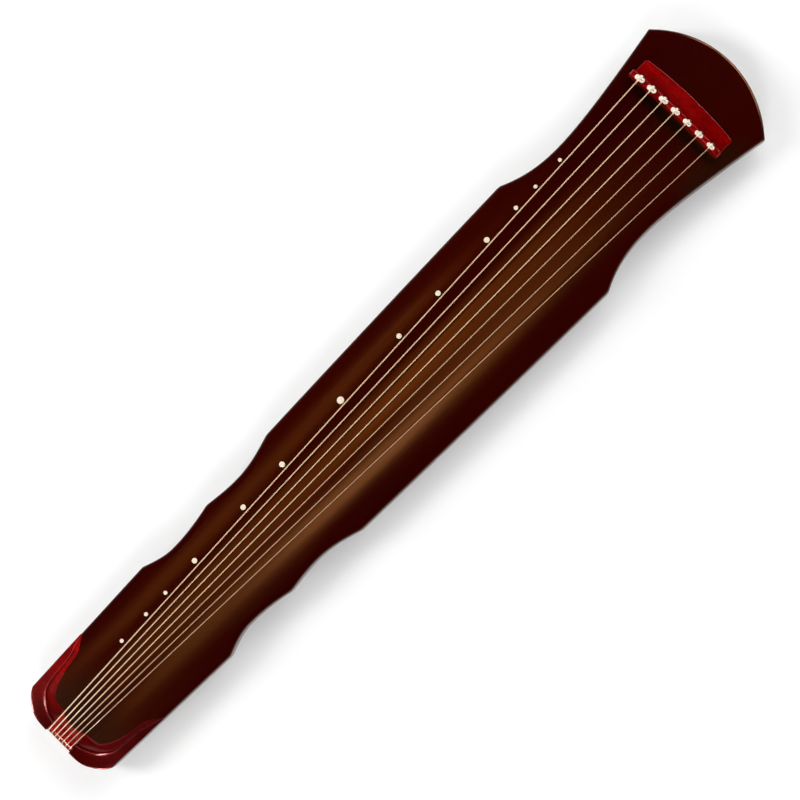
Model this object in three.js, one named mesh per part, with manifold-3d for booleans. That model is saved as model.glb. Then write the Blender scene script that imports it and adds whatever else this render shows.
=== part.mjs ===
// Guqin of the Fuxi style: a seven-string zither in lacquered wood, lying on its feet.
// Millimetres, +Z up. X runs from the tail to the head, and +Y is the side with the markers.
// The origin is on the floor, under the middle of the body.

import * as THREE from 'three';
import { mergeVertices } from 'three/addons/utils/BufferGeometryUtils.js';
import Module from 'manifold-3d';

const wasm = await Module();
wasm.setup();

// Driving dimensions of the body
const bodyLength = 1240;
const bodyWidth = 209.8;
const bodyThickness = 51.5;
const bottomBoardThickness = 10;
const feetHeight = 32;
const archRise = 25.2;
const headArcRise = 40.5;
const tailFlatWidth = 56;
const edgeRound = 4;
const undersideRound = 3;

// Driving dimensions of the strings: how far the bridge stands from the head's end, and the outer strings
// from the edges of the board there
const bridgeToHead = 105.5;
const stringMargin = 30.7;
const nutSpacing = 6.2;
const stringDiameters = [1.6, 1.5, 1.4, 1.3, 1.2, 1.1, 1.0];

// Clearances: between seated pieces, between turns of a cord, and how far a cutter runs past its work
const seatGap = 0.3;
const turnGap = 0.5;
const overrun = 6;

// Places that follow from the driving dimensions
const halfLength = bodyLength / 2;
const halfWidth = bodyWidth / 2;
const seamHeight = feetHeight + bottomBoardThickness;
const alongX = (share) => share * bodyLength - halfLength;

// The lacquered surface along its middle, as shares of the body's thickness and of its arch
const surfaceShares = [
  { along: 0, height: 0.825, arch: 0.85 },
  { along: 0.177, height: 0.899, arch: 0.93 },
  { along: 0.339, height: 0.967, arch: 1 },
  { along: 0.5, height: 0.994, arch: 1 },
  { along: 0.661, height: 1, arch: 1 },
  { along: 0.823, height: 0.971, arch: 0.92 },
  { along: 0.914, height: 0.918, arch: 0.8 },
  { along: 1, height: 0.757, arch: 0.62 },
];

// One side of the outline, from the tail to the head's corner: shares of the length and of the half width
const outlineShares = [
  { to: [0.0048, 0.51], bend: [[0, 0.38], [0.0016, 0.455]] },
  { to: [0.0205, 0.709], bend: [[0.0083, 0.59], [0.0125, 0.662]] },
  { to: [0.1887, 0.782] },
  { to: [0.1911, 0.779] },
  { to: [0.229, 0.672], bend: [[0.2032, 0.726], [0.2145, 0.672]] },
  { to: [0.2823, 0.749], bend: [[0.2484, 0.672], [0.2661, 0.707]] },
  { to: [0.2855, 0.751] },
  { to: [0.2871, 0.749] },
  { to: [0.325, 0.709], bend: [[0.3016, 0.7245], [0.3129, 0.709]] },
  { to: [0.379, 0.833], bend: [[0.3452, 0.709], [0.3613, 0.767]] },
  { to: [0.3823, 0.84] },
  { to: [0.7355, 0.9476], bend: [[0.498, 0.883], [0.616, 0.92]] },
  { to: [0.7395, 0.9438] },
  { to: [0.8089, 0.757], bend: [[0.7581, 0.834], [0.7782, 0.757]] },
  { to: [0.9673, 1], bend: [[0.8468, 0.757], [0.904, 0.8675]] },
];
const outlineDivisions = 5;
const stationStep = 42;
const leastStationStep = 0.15;
const tipHalfWidth = 6;

// Helpers that turn outlines, sections and routes into closed solids

// Smooth value of one column of the surface shares at a share of the length
function surfaceShare(column, along) {
  const last = surfaceShares.length - 1;
  const found = surfaceShares.findIndex((row) => row.along >= along);
  const right = Math.min(Math.max(found < 0 ? last : found, 1), last);
  const slope = (index) => {
    const before = surfaceShares[Math.max(index - 1, 0)];
    const after = surfaceShares[Math.min(index + 1, last)];
    return (after[column] - before[column]) / (after.along - before.along);
  };
  const a = surfaceShares[right - 1];
  const b = surfaceShares[right];
  const span = b.along - a.along;
  const t = Math.min(Math.max((along - a.along) / span, 0), 1);
  const startWeight = (1 + 2 * t) * (1 - t) * (1 - t);
  const startPull = t * (1 - t) * (1 - t) * span * slope(right - 1);
  const endPull = t * t * (t - 1) * span * slope(right);
  return startWeight * a[column] + startPull + (1 - startWeight) * b[column] + endPull;
}

// Height of the arched surface above the floor
function surfaceHeight(x, y) {
  const along = (x + halfLength) / bodyLength;
  const fall = archRise * surfaceShare('arch', along) * (y / halfWidth) ** 2;
  return feetHeight + bodyThickness * surfaceShare('height', along) - fall;
}

// Turns a closed geometry's triangles over if they face inwards
function facingOut(geometry) {
  const index = geometry.index.array;
  const position = geometry.attributes.position;
  const corners = [new THREE.Vector3(), new THREE.Vector3(), new THREE.Vector3()];
  let volume = 0;
  for (let i = 0; i < index.length; i += 3) {
    corners.forEach((corner, k) => corner.fromBufferAttribute(position, index[i + k]));
    volume += corners[0].dot(corners[1].cross(corners[2]));
  }
  if (volume < 0) {
    for (let i = 0; i < index.length; i += 3) {
      [index[i], index[i + 1]] = [index[i + 1], index[i]];
    }
  }
  return geometry;
}

// Keeps only the positions, with shared vertices merged
function bare(geometry) {
  const plain = new THREE.BufferGeometry();
  plain.setAttribute('position', geometry.getAttribute('position').clone());
  if (geometry.index) {
    plain.setIndex(geometry.index.clone());
  }
  return mergeVertices(plain);
}

// A closed body through rings of equal point counts, each end closed by a fan about its middle
function loft(rings) {
  const size = rings[0].length;
  const points = rings.flat();
  const triangles = [];
  for (let r = 0; r + 1 < rings.length; r += 1) {
    for (let k = 0; k < size; k += 1) {
      const a = r * size + k;
      const b = r * size + ((k + 1) % size);
      triangles.push(a, b, b + size, a, b + size, a + size);
    }
  }
  [[0, true], [rings.length - 1, false]].forEach(([r, first]) => {
    const middle = points.length;
    const sum = rings[r].reduce((total, point) => total.add(point), new THREE.Vector3());
    points.push(sum.divideScalar(size));
    for (let k = 0; k < size; k += 1) {
      const a = r * size + k;
      const b = r * size + ((k + 1) % size);
      triangles.push(...(first ? [middle, b, a] : [middle, a, b]));
    }
  });
  const geometry = new THREE.BufferGeometry().setFromPoints(points);
  geometry.setIndex(triangles);
  return facingOut(bare(geometry));
}

function solidOf(geometry) {
  const closed = bare(geometry);
  const vertProperties = new Float32Array(closed.attributes.position.array);
  const triVerts = new Uint32Array(closed.index.array);
  return new wasm.Manifold(new wasm.Mesh({ numProp: 3, vertProperties, triVerts }));
}

function geometryOf(solid) {
  const mesh = solid.getMesh();
  const geometry = new THREE.BufferGeometry();
  geometry.setAttribute('position', new THREE.BufferAttribute(mesh.vertProperties, 3));
  geometry.setIndex(new THREE.BufferAttribute(mesh.triVerts, 1));
  return geometry;
}

// A geometry less its cutters
function cut(geometry, cutters) {
  const solid = cutters.reduce((rest, cutter) => rest.subtract(solidOf(cutter)), solidOf(geometry));
  return geometryOf(solid);
}

// A flat shape stood up as a prism between two heights
function prism(shape, low, high, curveSegments) {
  const geometry = new THREE.ExtrudeGeometry(shape, { depth: high - low, bevelEnabled: false, curveSegments });
  return geometry.translate(0, 0, low);
}

// A side profile, drawn in X and Z, given a width across the body
function acrossBody(shape, width, curveSegments) {
  const geometry = new THREE.ExtrudeGeometry(shape, { depth: width, bevelEnabled: false, curveSegments });
  return geometry.rotateX(Math.PI / 2).translate(0, width / 2, 0);
}

function blockBetween(low, high) {
  const size = high.clone().sub(low);
  const middle = low.clone().add(high).divideScalar(2);
  return new THREE.BoxGeometry(size.x, size.y, size.z).translate(middle.x, middle.y, middle.z);
}

function uprightRod(radius, low, high, sides) {
  const rod = new THREE.CylinderGeometry(radius, radius, high - low, sides);
  return rod.rotateX(Math.PI / 2).translate(0, 0, (low + high) / 2);
}

// A slot with round ends, lying along X
function slotShape(length, width) {
  const reach = (length - width) / 2;
  const shape = new THREE.Shape();
  shape.absarc(reach, 0, width / 2, -Math.PI / 2, Math.PI / 2, false);
  shape.absarc(-reach, 0, width / 2, Math.PI / 2, Math.PI * 1.5, false);
  return shape;
}

function roundedRectangle(length, width, radius) {
  const x = length / 2 - radius;
  const y = width / 2 - radius;
  const shape = new THREE.Shape();
  shape.absarc(x, y, radius, 0, Math.PI / 2, false);
  shape.absarc(-x, y, radius, Math.PI / 2, Math.PI, false);
  shape.absarc(-x, -y, radius, Math.PI, Math.PI * 1.5, false);
  shape.absarc(x, -y, radius, Math.PI * 1.5, Math.PI * 2, false);
  return shape;
}

// A route that a cord follows through exactly the given points
class Route extends THREE.Curve {
  constructor(points) {
    super();
    this.points = points;
  }

  getSpacedPoints() {
    return this.points;
  }

  getTangentAt(share, target = new THREE.Vector3()) {
    const last = this.points.length - 1;
    const here = Math.round(share * last);
    const back = Math.max(here - 1, 0);
    const ahead = Math.min(here, last - 1);
    const arriving = this.points[back + 1].clone().sub(this.points[back]).normalize();
    const leaving = this.points[ahead + 1].clone().sub(this.points[ahead]).normalize();
    return target.copy(arriving).add(leaving).normalize();
  }
}

const cordSides = 5;

function tube(points, diameter, sides = cordSides) {
  const corners = Array.from({ length: sides }, (_, k) => {
    const angle = (k / sides) * Math.PI * 2;
    return new THREE.Vector2(Math.cos(angle), Math.sin(angle)).multiplyScalar(diameter / 2);
  });
  const options = { steps: points.length - 1, extrudePath: new Route(points), bevelEnabled: false };
  return facingOut(bare(new THREE.ExtrudeGeometry(new THREE.Shape(corners), options)));
}

// Prints the least gap between stretches of a wound tube that lie more than a few diameters apart along it
const gapSampleShare = 0.5;
const gapReachDiameters = 3;

function printLeastGap(name, points, diameter) {
  const samples = [];
  let travelled = 0;
  for (let i = 0; i + 1 < points.length; i += 1) {
    const length = points[i].distanceTo(points[i + 1]);
    const parts = Math.ceil(length / (diameter * gapSampleShare));
    for (let k = 0; k < parts; k += 1) {
      const at = points[i].clone().lerp(points[i + 1], k / parts);
      samples.push({ at, travelled: travelled + (length * k) / parts });
    }
    travelled += length;
  }
  let least = Infinity;
  samples.forEach((one, i) => {
    samples.slice(i + 1).forEach((other) => {
      if (other.travelled - one.travelled > gapReachDiameters * diameter) {
        least = Math.min(least, one.at.distanceTo(other.at) - diameter);
      }
    });
  });
  console.log(`${name}: least gap to itself ${least.toFixed(2)} mm`);
}

// Outline of the body as stations from the tail to the head, each with its half width

function outlineStations() {
  const path = new THREE.Path();
  path.moveTo(0, tailFlatWidth / 2);
  outlineShares.forEach(({ to, bend }) => {
    const end = [to[0] * bodyLength, to[1] * halfWidth];
    if (bend) {
      const controls = bend.flatMap(([along, out]) => [along * bodyLength, out * halfWidth]);
      path.bezierCurveTo(...controls, ...end);
    } else {
      path.lineTo(...end);
    }
  });
  const headCorner = bodyLength - headArcRise;
  const headRadius = (halfWidth ** 2 + headArcRise ** 2) / (2 * headArcRise);
  path.lineTo(headCorner, halfWidth);
  const centre = bodyLength - headRadius;
  path.absarc(centre, 0, headRadius, Math.atan2(halfWidth, headCorner - centre), 0, true);
  const stations = [];
  path.getPoints(outlineDivisions).forEach((point) => {
    const x = point.x - halfLength;
    const width = Math.max(point.y, tipHalfWidth);
    const before = stations.at(-1);
    if (before && x - before.x < leastStationStep) {
      return;
    }
    const parts = before ? Math.ceil((x - before.x) / stationStep) : 1;
    for (let k = 1; k < parts; k += 1) {
      const t = k / parts;
      stations.push({ x: before.x + (x - before.x) * t, width: before.width + (width - before.width) * t });
    }
    stations.push({ x, width });
  });
  stations.at(-1).x = halfLength;
  return stations;
}

const stations = outlineStations();

function halfWidthAt(x) {
  const right = Math.max(stations.findIndex((station) => station.x >= x), 1);
  const a = stations[right - 1];
  const b = stations[right];
  return a.width + ((b.width - a.width) * (x - a.x)) / (b.x - a.x);
}

const stringCount = stringDiameters.length;
const stringY = (index, spacing) => ((stringCount - 1) / 2 - index) * spacing;

// Tail fittings: the nut that the strings cross, its lower half, and the slot that they go down
const slotDepth = 2;
const nutMargin = 2.1;
const nutHeight = 3.5;
const nutRadius = 9;
const nutSeatDepth = 12.8;
const nutBackLength = 27.5;
const nutBackBow = 6.3;
const nutFadeShares = { slope: 0.4, foot: 0.75 };
const nutFlushRise = 0.4;
const nutStations = 8;
const bendSteps = 6;
const lowerNutDepth = 18;
const lowerNutDrop = 3.5;
const lowerNutRadius = 6;
const nutWidth = 2 * (stringY(0, nutSpacing) + nutMargin);
const nutCrestX = slotDepth + nutRadius - halfLength;
const nutSeatHeight = surfaceHeight(nutCrestX, 0) - nutSeatDepth;
const slotFaceX = slotDepth - halfLength;
const lowerNutBottom = feetHeight - lowerNutDrop;

// Head fittings: the bridge and the strip behind it
const bridgeX = halfLength - bridgeToHead;
const soundingLength = bridgeX - nutCrestX;
const outerStringY = halfWidthAt(bridgeX) - stringMargin;
const bridgeSpacing = (2 * outerStringY) / (stringCount - 1);
const bridgeWidth = 8.6;
const bridgeOverhang = 15.2;
const bridgeLength = 2 * (outerStringY + bridgeOverhang);
const bridgeHeight = 17;
const bridgeRound = 1.6;
const bridgeEndDrop = 3.2;
const bridgeEndRun = 4;
const bridgeBackX = bridgeX + bridgeWidth;
const dewDepth = 26.5;
const dewBow = 3;
const dewOverhang = 13.65;
const dewLength = 2 * (outerStringY + dewOverhang);
const dewHeight = 3.4;
const dewCorner = 2.6;
const dewBevel = 1.2;

// Tuning cords and the holes that they go down
const cordDiameter = 1.1;
const cordLegOffset = (cordDiameter + turnGap) / 2;
const holeSides = 10;
const holeRadius = (cordLegOffset + cordDiameter / 2 + seatGap) / Math.cos(Math.PI / holeSides);
const holeSetback = 3.4;
const holeX = bridgeBackX + holeSetback;

// Peg pool, with the hardwood plate that the pegs press against
const pegHeadRadius = 7.2;
const poolClearance = 2.65;
const poolLength = 2 * (outerStringY + pegHeadRadius + poolClearance);
const poolWidth = 33;
const poolCorner = 6;
const pegPlateThickness = 4;
const pegPlateHeight = 20;
const pegPlateBottom = feetHeight + pegPlateHeight;
const pegPlateTop = pegPlateBottom + pegPlateThickness;
const poolSegments = 4;

const acrossStep = 10;
const bridgeTopHeight = (y) => surfaceHeight(bridgeX, y) + bridgeHeight;
const nutTopHeight = (y) => surfaceHeight(nutCrestX, y) + nutHeight;

// Places across the body at which a bar that follows the arch has a section, with its ends marked
function placesAcross(length, endRun) {
  const half = length / 2;
  const inside = half - endRun;
  const count = Math.round((2 * inside) / acrossStep);
  const middle = Array.from({ length: count + 1 }, (_, k) => ({ y: -inside + (2 * inside * k) / count, atEnd: false }));
  return [{ y: -half, atEnd: true }, ...middle, { y: half, atEnd: true }];
}

// Points of a bend in the XZ plane, from one angle to another
function bendPoints(centreX, centreZ, radius, from, to, y) {
  return Array.from({ length: bendSteps + 1 }, (_, k) => {
    const angle = from + ((to - from) * k) / bendSteps;
    return new THREE.Vector3(centreX + radius * Math.cos(angle), y, centreZ + radius * Math.sin(angle));
  });
}

// Tail nut: a block with a round front, crowned like the board and bowed at the back
function nutGeometry(grow) {
  const reach = nutWidth / 2 + grow;
  const rings = Array.from({ length: nutStations + 1 }, (_, k) => {
    const y = -reach + (2 * reach * k) / nutStations;
    const backX = nutBackLength + nutBackBow * (y / reach) ** 2 - halfLength + grow;
    const fade = (share) => nutCrestX + (backX - nutCrestX) * share;
    const top = nutTopHeight(y) + grow * overrun / seatGap;
    const front = bendPoints(nutCrestX, top - nutRadius, nutRadius, Math.PI, Math.PI / 2, y);
    const slopeX = fade(nutFadeShares.slope);
    const footX = fade(nutFadeShares.foot);
    const back = [
      new THREE.Vector3(slopeX, y, surfaceHeight(slopeX, y) + nutHeight / 2 + grow * overrun / seatGap),
      new THREE.Vector3(footX, y, surfaceHeight(footX, y) + nutFlushRise + grow * overrun / seatGap),
      new THREE.Vector3(backX, y, surfaceHeight(backX, y) + nutFlushRise + grow * overrun / seatGap),
      new THREE.Vector3(backX, y, nutSeatHeight),
    ];
    return [new THREE.Vector3(slotFaceX, y, nutSeatHeight), ...front, ...back];
  });
  return loft(rings);
}

// Lower nut: leads the strings round the tail to the underside
function lowerNutGeometry() {
  const shape = new THREE.Shape();
  shape.moveTo(slotFaceX, nutSeatHeight);
  const centreX = slotFaceX + lowerNutRadius;
  const centreZ = lowerNutBottom + lowerNutRadius;
  shape.absarc(centreX, centreZ, lowerNutRadius, Math.PI, Math.PI * 1.5, false);
  shape.lineTo(slotFaceX + lowerNutDepth, lowerNutBottom);
  shape.lineTo(slotFaceX + lowerNutDepth, nutSeatHeight);
  return acrossBody(shape, nutWidth, bendSteps);
}

// Tail crowns: outer zone with a raised ridge, and an inner zone flush with the lacquer.
// Both lines run from the nut to the tip on the side, in shares of the crown's length and the tail's half width.
const crownLength = 118;
const crownDepth = 5;
const crownRaise = 2.6;
const crownRidge = 3.8;
const crownFlush = 0.4;
const crownTipWidth = 2.4;
const crownRidgeLineShares = [
  [0.125, 0.27], [0.142, 0.385], [0.17, 0.489], [0.212, 0.602], [0.267, 0.692],
  [0.339, 0.766], [0.445, 0.811], [0.62, 0.832], [0.75, 0.855], [0.864, 0.906],
];
const crownInnerLineShares = [
  [0.291, 0.27], [0.298, 0.4], [0.318, 0.528], [0.375, 0.611], [0.445, 0.667],
  [0.534, 0.713], [0.627, 0.753], [0.72, 0.772], [0.797, 0.79], [0.87, 0.835],
];
const crownProfileShares = { round: 0.07, ridgeStart: 0.8, ridgeTop: 0.93, fade: 0.12 };
const crownRoundDrop = 1.3;
const crownTipShares = { ridge: 0.5, inner: 1 };
const crownHalf = halfWidthAt(crownLength - halfLength);

function crownLine(shares, tipShare) {
  const points = shares.map(([along, out]) => new THREE.Vector2(along * crownLength - halfLength, out * crownHalf));
  points[0].y = nutWidth / 2 + seatGap;
  points.push(new THREE.Vector2(crownLength - halfLength, crownHalf - crownTipWidth * tipShare));
  return new THREE.SplineCurve(points);
}

function crownOuterLine() {
  const points = [new THREE.Vector2(-halfLength, nutWidth / 2 + seatGap)];
  stations.filter((station) => station.x < crownLength - halfLength).forEach((station) => {
    points.push(new THREE.Vector2(station.x, station.width));
  });
  points.push(new THREE.Vector2(crownLength - halfLength, crownHalf));
  return points;
}

// The crown on one side, or with grow the pocket that it sits in
function crownGeometry(side, grow) {
  const outer = crownOuterLine();
  const ridge = crownLine(crownRidgeLineShares, crownTipShares.ridge);
  const inner = crownLine(crownInnerLineShares, crownTipShares.inner);
  const lengths = [0];
  outer.slice(1).forEach((point, k) => lengths.push(lengths[k] + point.distanceTo(outer[k])));
  const up = (grow * overrun) / seatGap;
  const rings = outer.map((edge, k) => {
    const share = lengths[k] / lengths.at(-1);
    const crest = ridge.getPointAt(share);
    const end = inner.getPointAt(share);
    const outward = edge.clone().sub(end).normalize();
    const from = edge.clone().addScaledVector(outward, up);
    const to = end.clone().addScaledVector(outward, -grow);
    if (k === 0) {
      [from, crest, to].forEach((point) => point.setY(point.y - grow * 2));
    }
    if (k === outer.length - 1) {
      [from, crest, to].forEach((point) => point.setX(point.x + grow));
    }
    const place = (start, finish, t, rise) => {
      const at = start.clone().lerp(finish, t);
      return new THREE.Vector3(at.x, side * at.y, surfaceHeight(at.x, at.y) + rise);
    };
    const { round, ridgeStart, ridgeTop, fade } = crownProfileShares;
    return [
      place(from, crest, 0, -crownDepth - grow),
      place(from, crest, 0, crownRaise - crownRoundDrop + up),
      place(from, crest, round, crownRaise + up),
      place(from, crest, ridgeStart, crownRaise + up),
      place(from, crest, ridgeTop, crownRidge + up),
      place(from, crest, 1, (crownRidge + crownFlush) / 2 + up),
      place(crest, to, fade, crownFlush + up),
      place(crest, to, 1, crownFlush + up),
      place(crest, to, 1, -crownDepth - grow),
    ];
  });
  return loft(rings);
}

// Top board: an arched plank, hollowed from below, with raised pads in the roof over the sound holes
const topDivisions = 8;
const edgeShares = { limit: 0.3, shoulder: 0.3 };
const wallThickness = 14;
const roofThickness = 11;
const cavityShares = { start: 0.055, end: 0.862 };
const cavityStations = 22;
const cavityDivisions = 7;
const padDrop = 6;
const padMargin = 18;

// Sound holes in the bottom board
const soundHoles = [
  { alongShare: 0.577, length: 210, width: 26 },
  { alongShare: 0.177, length: 110, width: 24 },
];
const soundHoleSegments = 8;

// Markers: round inlays at the harmonics, as shares of the sounding length from the bridge
const markerShares = [1 / 8, 1 / 6, 1 / 5, 1 / 4, 1 / 3, 2 / 5, 1 / 2, 3 / 5, 2 / 3, 3 / 4, 4 / 5, 5 / 6, 7 / 8];
const markerDiameters = [5.3, 5.4, 6.1, 7.7, 7.3, 7.2, 9.8, 7.9, 7.5, 7.4, 5.5, 5.5, 5.5];
const markerOffset = 7.8;
const markerDepth = 1.7;
const markerProud = 0.15;
const markerSides = 12;

// Cylinder for a marker or its pocket, tilted to lie with the arch
function markerGeometry(index, grow) {
  const share = markerShares[index];
  const x = bridgeX - soundingLength * share;
  const stringOne = stringY(0, bridgeSpacing) * (1 - share) + stringY(0, nutSpacing) * share;
  const y = stringOne + markerOffset;
  const step = markerDiameters[index] / 2;
  const tilt = Math.atan2(surfaceHeight(x, y + step) - surfaceHeight(x, y - step), 2 * step);
  const top = markerProud + (grow * overrun) / seatGap;
  const rod = uprightRod(markerDiameters[index] / 2 + grow, -markerDepth - grow, top, markerSides);
  return rod.rotateX(tilt).translate(x, y, surfaceHeight(x, y));
}

function topSection(x, width) {
  const round = Math.min(edgeRound, width * edgeShares.limit);
  const shoulder = round * edgeShares.shoulder;
  const flat = width - round;
  const edge = (y, z) => new THREE.Vector3(x, y, z);
  const crown = Array.from({ length: topDivisions + 1 }, (_, k) => {
    const y = flat - (2 * flat * k) / topDivisions;
    return edge(y, surfaceHeight(x, y));
  });
  const height = surfaceHeight(x, width);
  return [
    edge(-width, seamHeight),
    edge(width, seamHeight),
    edge(width, height - round),
    edge(width - shoulder, height - shoulder),
    ...crown,
    edge(shoulder - width, height - shoulder),
    edge(-width, height - round),
  ];
}

function cavityGeometry() {
  const rings = Array.from({ length: cavityStations + 1 }, (_, k) => {
    const share = cavityShares.start + ((cavityShares.end - cavityShares.start) * k) / cavityStations;
    const x = alongX(share);
    const reach = halfWidthAt(x) - wallThickness;
    const roof = Array.from({ length: cavityDivisions + 1 }, (_unused, j) => {
      const y = reach - (2 * reach * j) / cavityDivisions;
      return new THREE.Vector3(x, y, surfaceHeight(x, y) - roofThickness);
    });
    const floor = seamHeight - overrun;
    return [new THREE.Vector3(x, -reach, floor), new THREE.Vector3(x, reach, floor), ...roof];
  });
  const pads = soundHoles.map(({ alongShare, length, width }) => {
    const x = alongX(alongShare);
    const low = surfaceHeight(x, 0) - roofThickness - padDrop;
    const shape = slotShape(length + 2 * padMargin, width + 2 * padMargin);
    return prism(shape, low, feetHeight + bodyThickness, soundHoleSegments).translate(x, 0, 0);
  });
  return cut(loft(rings), pads);
}

function cordHole(index, low, high) {
  return uprightRod(holeRadius, low, high, holeSides).translate(holeX, stringY(index, bridgeSpacing), 0);
}

function tailSlot(low, high, depth) {
  const reach = nutWidth / 2 + seatGap;
  const from = new THREE.Vector3(-halfLength - overrun, -reach, low);
  const to = new THREE.Vector3(depth - halfLength, reach, high);
  return blockBetween(from, to);
}

function poolRecess(low, high, grow) {
  const shape = roundedRectangle(poolWidth + 2 * grow, poolLength + 2 * grow, poolCorner + grow);
  return prism(shape, low, high, poolSegments).translate(holeX, 0, 0);
}

function topBoardGeometry() {
  const plank = loft(stations.map(({ x, width }) => topSection(x, width)));
  const slotEnd = slotDepth + lowerNutDepth + seatGap;
  const cordHoles = stringDiameters.map((_, index) => {
    return cordHole(index, pegPlateTop, feetHeight + bodyThickness + overrun);
  });
  return cut(plank, [
    cavityGeometry(),
    tailSlot(seamHeight - overrun, nutSeatHeight, slotEnd),
    tailSlot(nutSeatHeight - overrun, feetHeight + bodyThickness + overrun, slotDepth),
    nutGeometry(seatGap),
    crownGeometry(1, seatGap),
    crownGeometry(-1, seatGap),
    poolRecess(seamHeight - overrun, pegPlateTop + seatGap, seatGap),
    ...cordHoles,
    ...markerShares.map((_, index) => markerGeometry(index, seatGap)),
  ]);
}

// Goose feet: turned hardwood feet with a waist for the strings and a square tenon
const footAlongShare = 0.282;
const footSpread = 104;
const footSoleRadius = 10.8;
const footBaseRadius = 13;
const footBaseHeight = 5;
const footWaistRadius = 7.6;
const footWaistLow = 8.4;
const footCollarHeight = 3.4;
const footCollarRadius = 10.4;
const footCollarRound = 1;
const footSoleRound = 1.6;
const footTenonWidth = 11;
const footSides = 16;
const footWaistHigh = feetHeight - footCollarHeight;
const footX = alongX(footAlongShare);
const footTenonTop = seamHeight - seatGap;

// Bottom board: a flat plank with rounded lower edges, its sound holes, peg pool and foot mortises
function bottomSection(x, width) {
  const round = Math.min(undersideRound, width * edgeShares.limit);
  return [
    [round - width, feetHeight],
    [width - round, feetHeight],
    [width, feetHeight + round],
    [width, seamHeight],
    [-width, seamHeight],
    [-width, feetHeight + round],
  ].map(([y, z]) => new THREE.Vector3(x, y, z));
}

function footMortise(side) {
  const size = footTenonWidth + 2 * seatGap;
  const depth = bottomBoardThickness + 2 * overrun;
  const middle = (feetHeight + seamHeight) / 2;
  return new THREE.BoxGeometry(size, size, depth).translate(footX, (side * footSpread) / 2, middle);
}

function bottomBoardGeometry() {
  const plank = loft(stations.map(({ x, width }) => bottomSection(x, width)));
  const low = feetHeight - overrun;
  const high = seamHeight + overrun;
  const holes = soundHoles.map(({ alongShare, length, width }) => {
    return prism(slotShape(length, width), low, high, soundHoleSegments).translate(alongX(alongShare), 0, 0);
  });
  const slotEnd = slotDepth + lowerNutDepth + seatGap;
  return cut(plank, [
    ...holes,
    tailSlot(low, high, slotEnd),
    poolRecess(low, high, 0),
    footMortise(1),
    footMortise(-1),
  ]);
}

function gooseFootGeometry() {
  const profile = [
    [0, 0],
    [footSoleRadius, 0],
    [footBaseRadius, footSoleRound],
    [footBaseRadius, footBaseHeight],
    [footWaistRadius, footWaistLow],
    [footWaistRadius, footWaistHigh],
    [footCollarRadius, footWaistHigh + footCollarRound],
    [footCollarRadius, feetHeight],
    [0, feetHeight],
  ].map(([radius, z]) => new THREE.Vector2(radius, z));
  const turned = new THREE.LatheGeometry(profile, footSides).rotateX(Math.PI / 2);
  const tenonLow = footWaistHigh;
  const half = footTenonWidth / 2;
  const tenon = blockBetween(new THREE.Vector3(-half, -half, tenonLow), new THREE.Vector3(half, half, footTenonTop));
  return geometryOf(solidOf(facingOut(bare(turned))).add(solidOf(tenon)));
}

// Bridge: a bar across the head that follows the arch, with its ends worn round
function bridgeGeometry() {
  return loft(placesAcross(bridgeLength, bridgeEndRun).map(({ y, atEnd }) => {
    const top = bridgeTopHeight(y) - (atEnd ? bridgeEndDrop : 0);
    const seat = (x) => surfaceHeight(x, y) + seatGap;
    return [
      [bridgeX, seat(bridgeX)],
      [bridgeBackX, seat(bridgeBackX)],
      [bridgeBackX, top - bridgeRound],
      [bridgeBackX - bridgeRound, top],
      [bridgeX + bridgeRound / 2, top],
      [bridgeX, top - bridgeRound / 2],
    ].map(([x, z]) => new THREE.Vector3(x, y, z));
  }));
}

// Strip behind the bridge, with the holes for the tuning cords
function dewCollectorGeometry() {
  const front = bridgeBackX + seatGap;
  const strip = loft(placesAcross(dewLength, dewCorner).map(({ y, atEnd }) => {
    const back = front + dewDepth - dewBow * (y / (dewLength / 2)) ** 2 - (atEnd ? dewCorner : 0);
    const seat = (x) => surfaceHeight(x, y) + seatGap;
    const top = (x) => surfaceHeight(x, y) + dewHeight;
    return [
      [front, seat(front)],
      [back, seat(back)],
      [back, top(back) - dewBevel],
      [back - dewBevel, top(back - dewBevel)],
      [front, top(front)],
    ].map(([x, z]) => new THREE.Vector3(x, y, z));
  }));
  return cut(strip, stringDiameters.map((_, index) => {
    return cordHole(index, seamHeight, feetHeight + bodyThickness + overrun);
  }));
}

// Peg plate: hardwood bearing let into the roof of the peg pool
function pegPlateGeometry() {
  const plate = poolRecess(pegPlateBottom, pegPlateTop, 0);
  return cut(plate, stringDiameters.map((_, index) => {
    return cordHole(index, pegPlateBottom - overrun, pegPlateTop + overrun);
  }));
}

// Tuning pegs: turned hardwood, bored for the cord, with a neck for its winding
const pegTop = pegPlateBottom - seatGap;
const pegBottom = 3;
const pegHeadThickness = 2.6;
const pegNeckRadius = 4.4;
const pegNeckLength = 8.4;
const pegShoulder = 1.2;
const pegBodyRadius = 6.3;
const pegWaistRadius = 4.2;
const pegWaistHeight = 17;
const pegFootRadius = 6;
const pegFootHeight = 5;
const pegTipRadius = 3.4;
const pegBoreRadius = 1.9;
const pegBoreDepth = 19;
const pegSides = 10;
const windingHoleSides = 6;
const pegNeckTop = pegTop - pegHeadThickness - pegShoulder;
const pegNeckBottom = pegNeckTop - pegNeckLength;
const windingTop = pegNeckTop - seatGap - cordDiameter;

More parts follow.
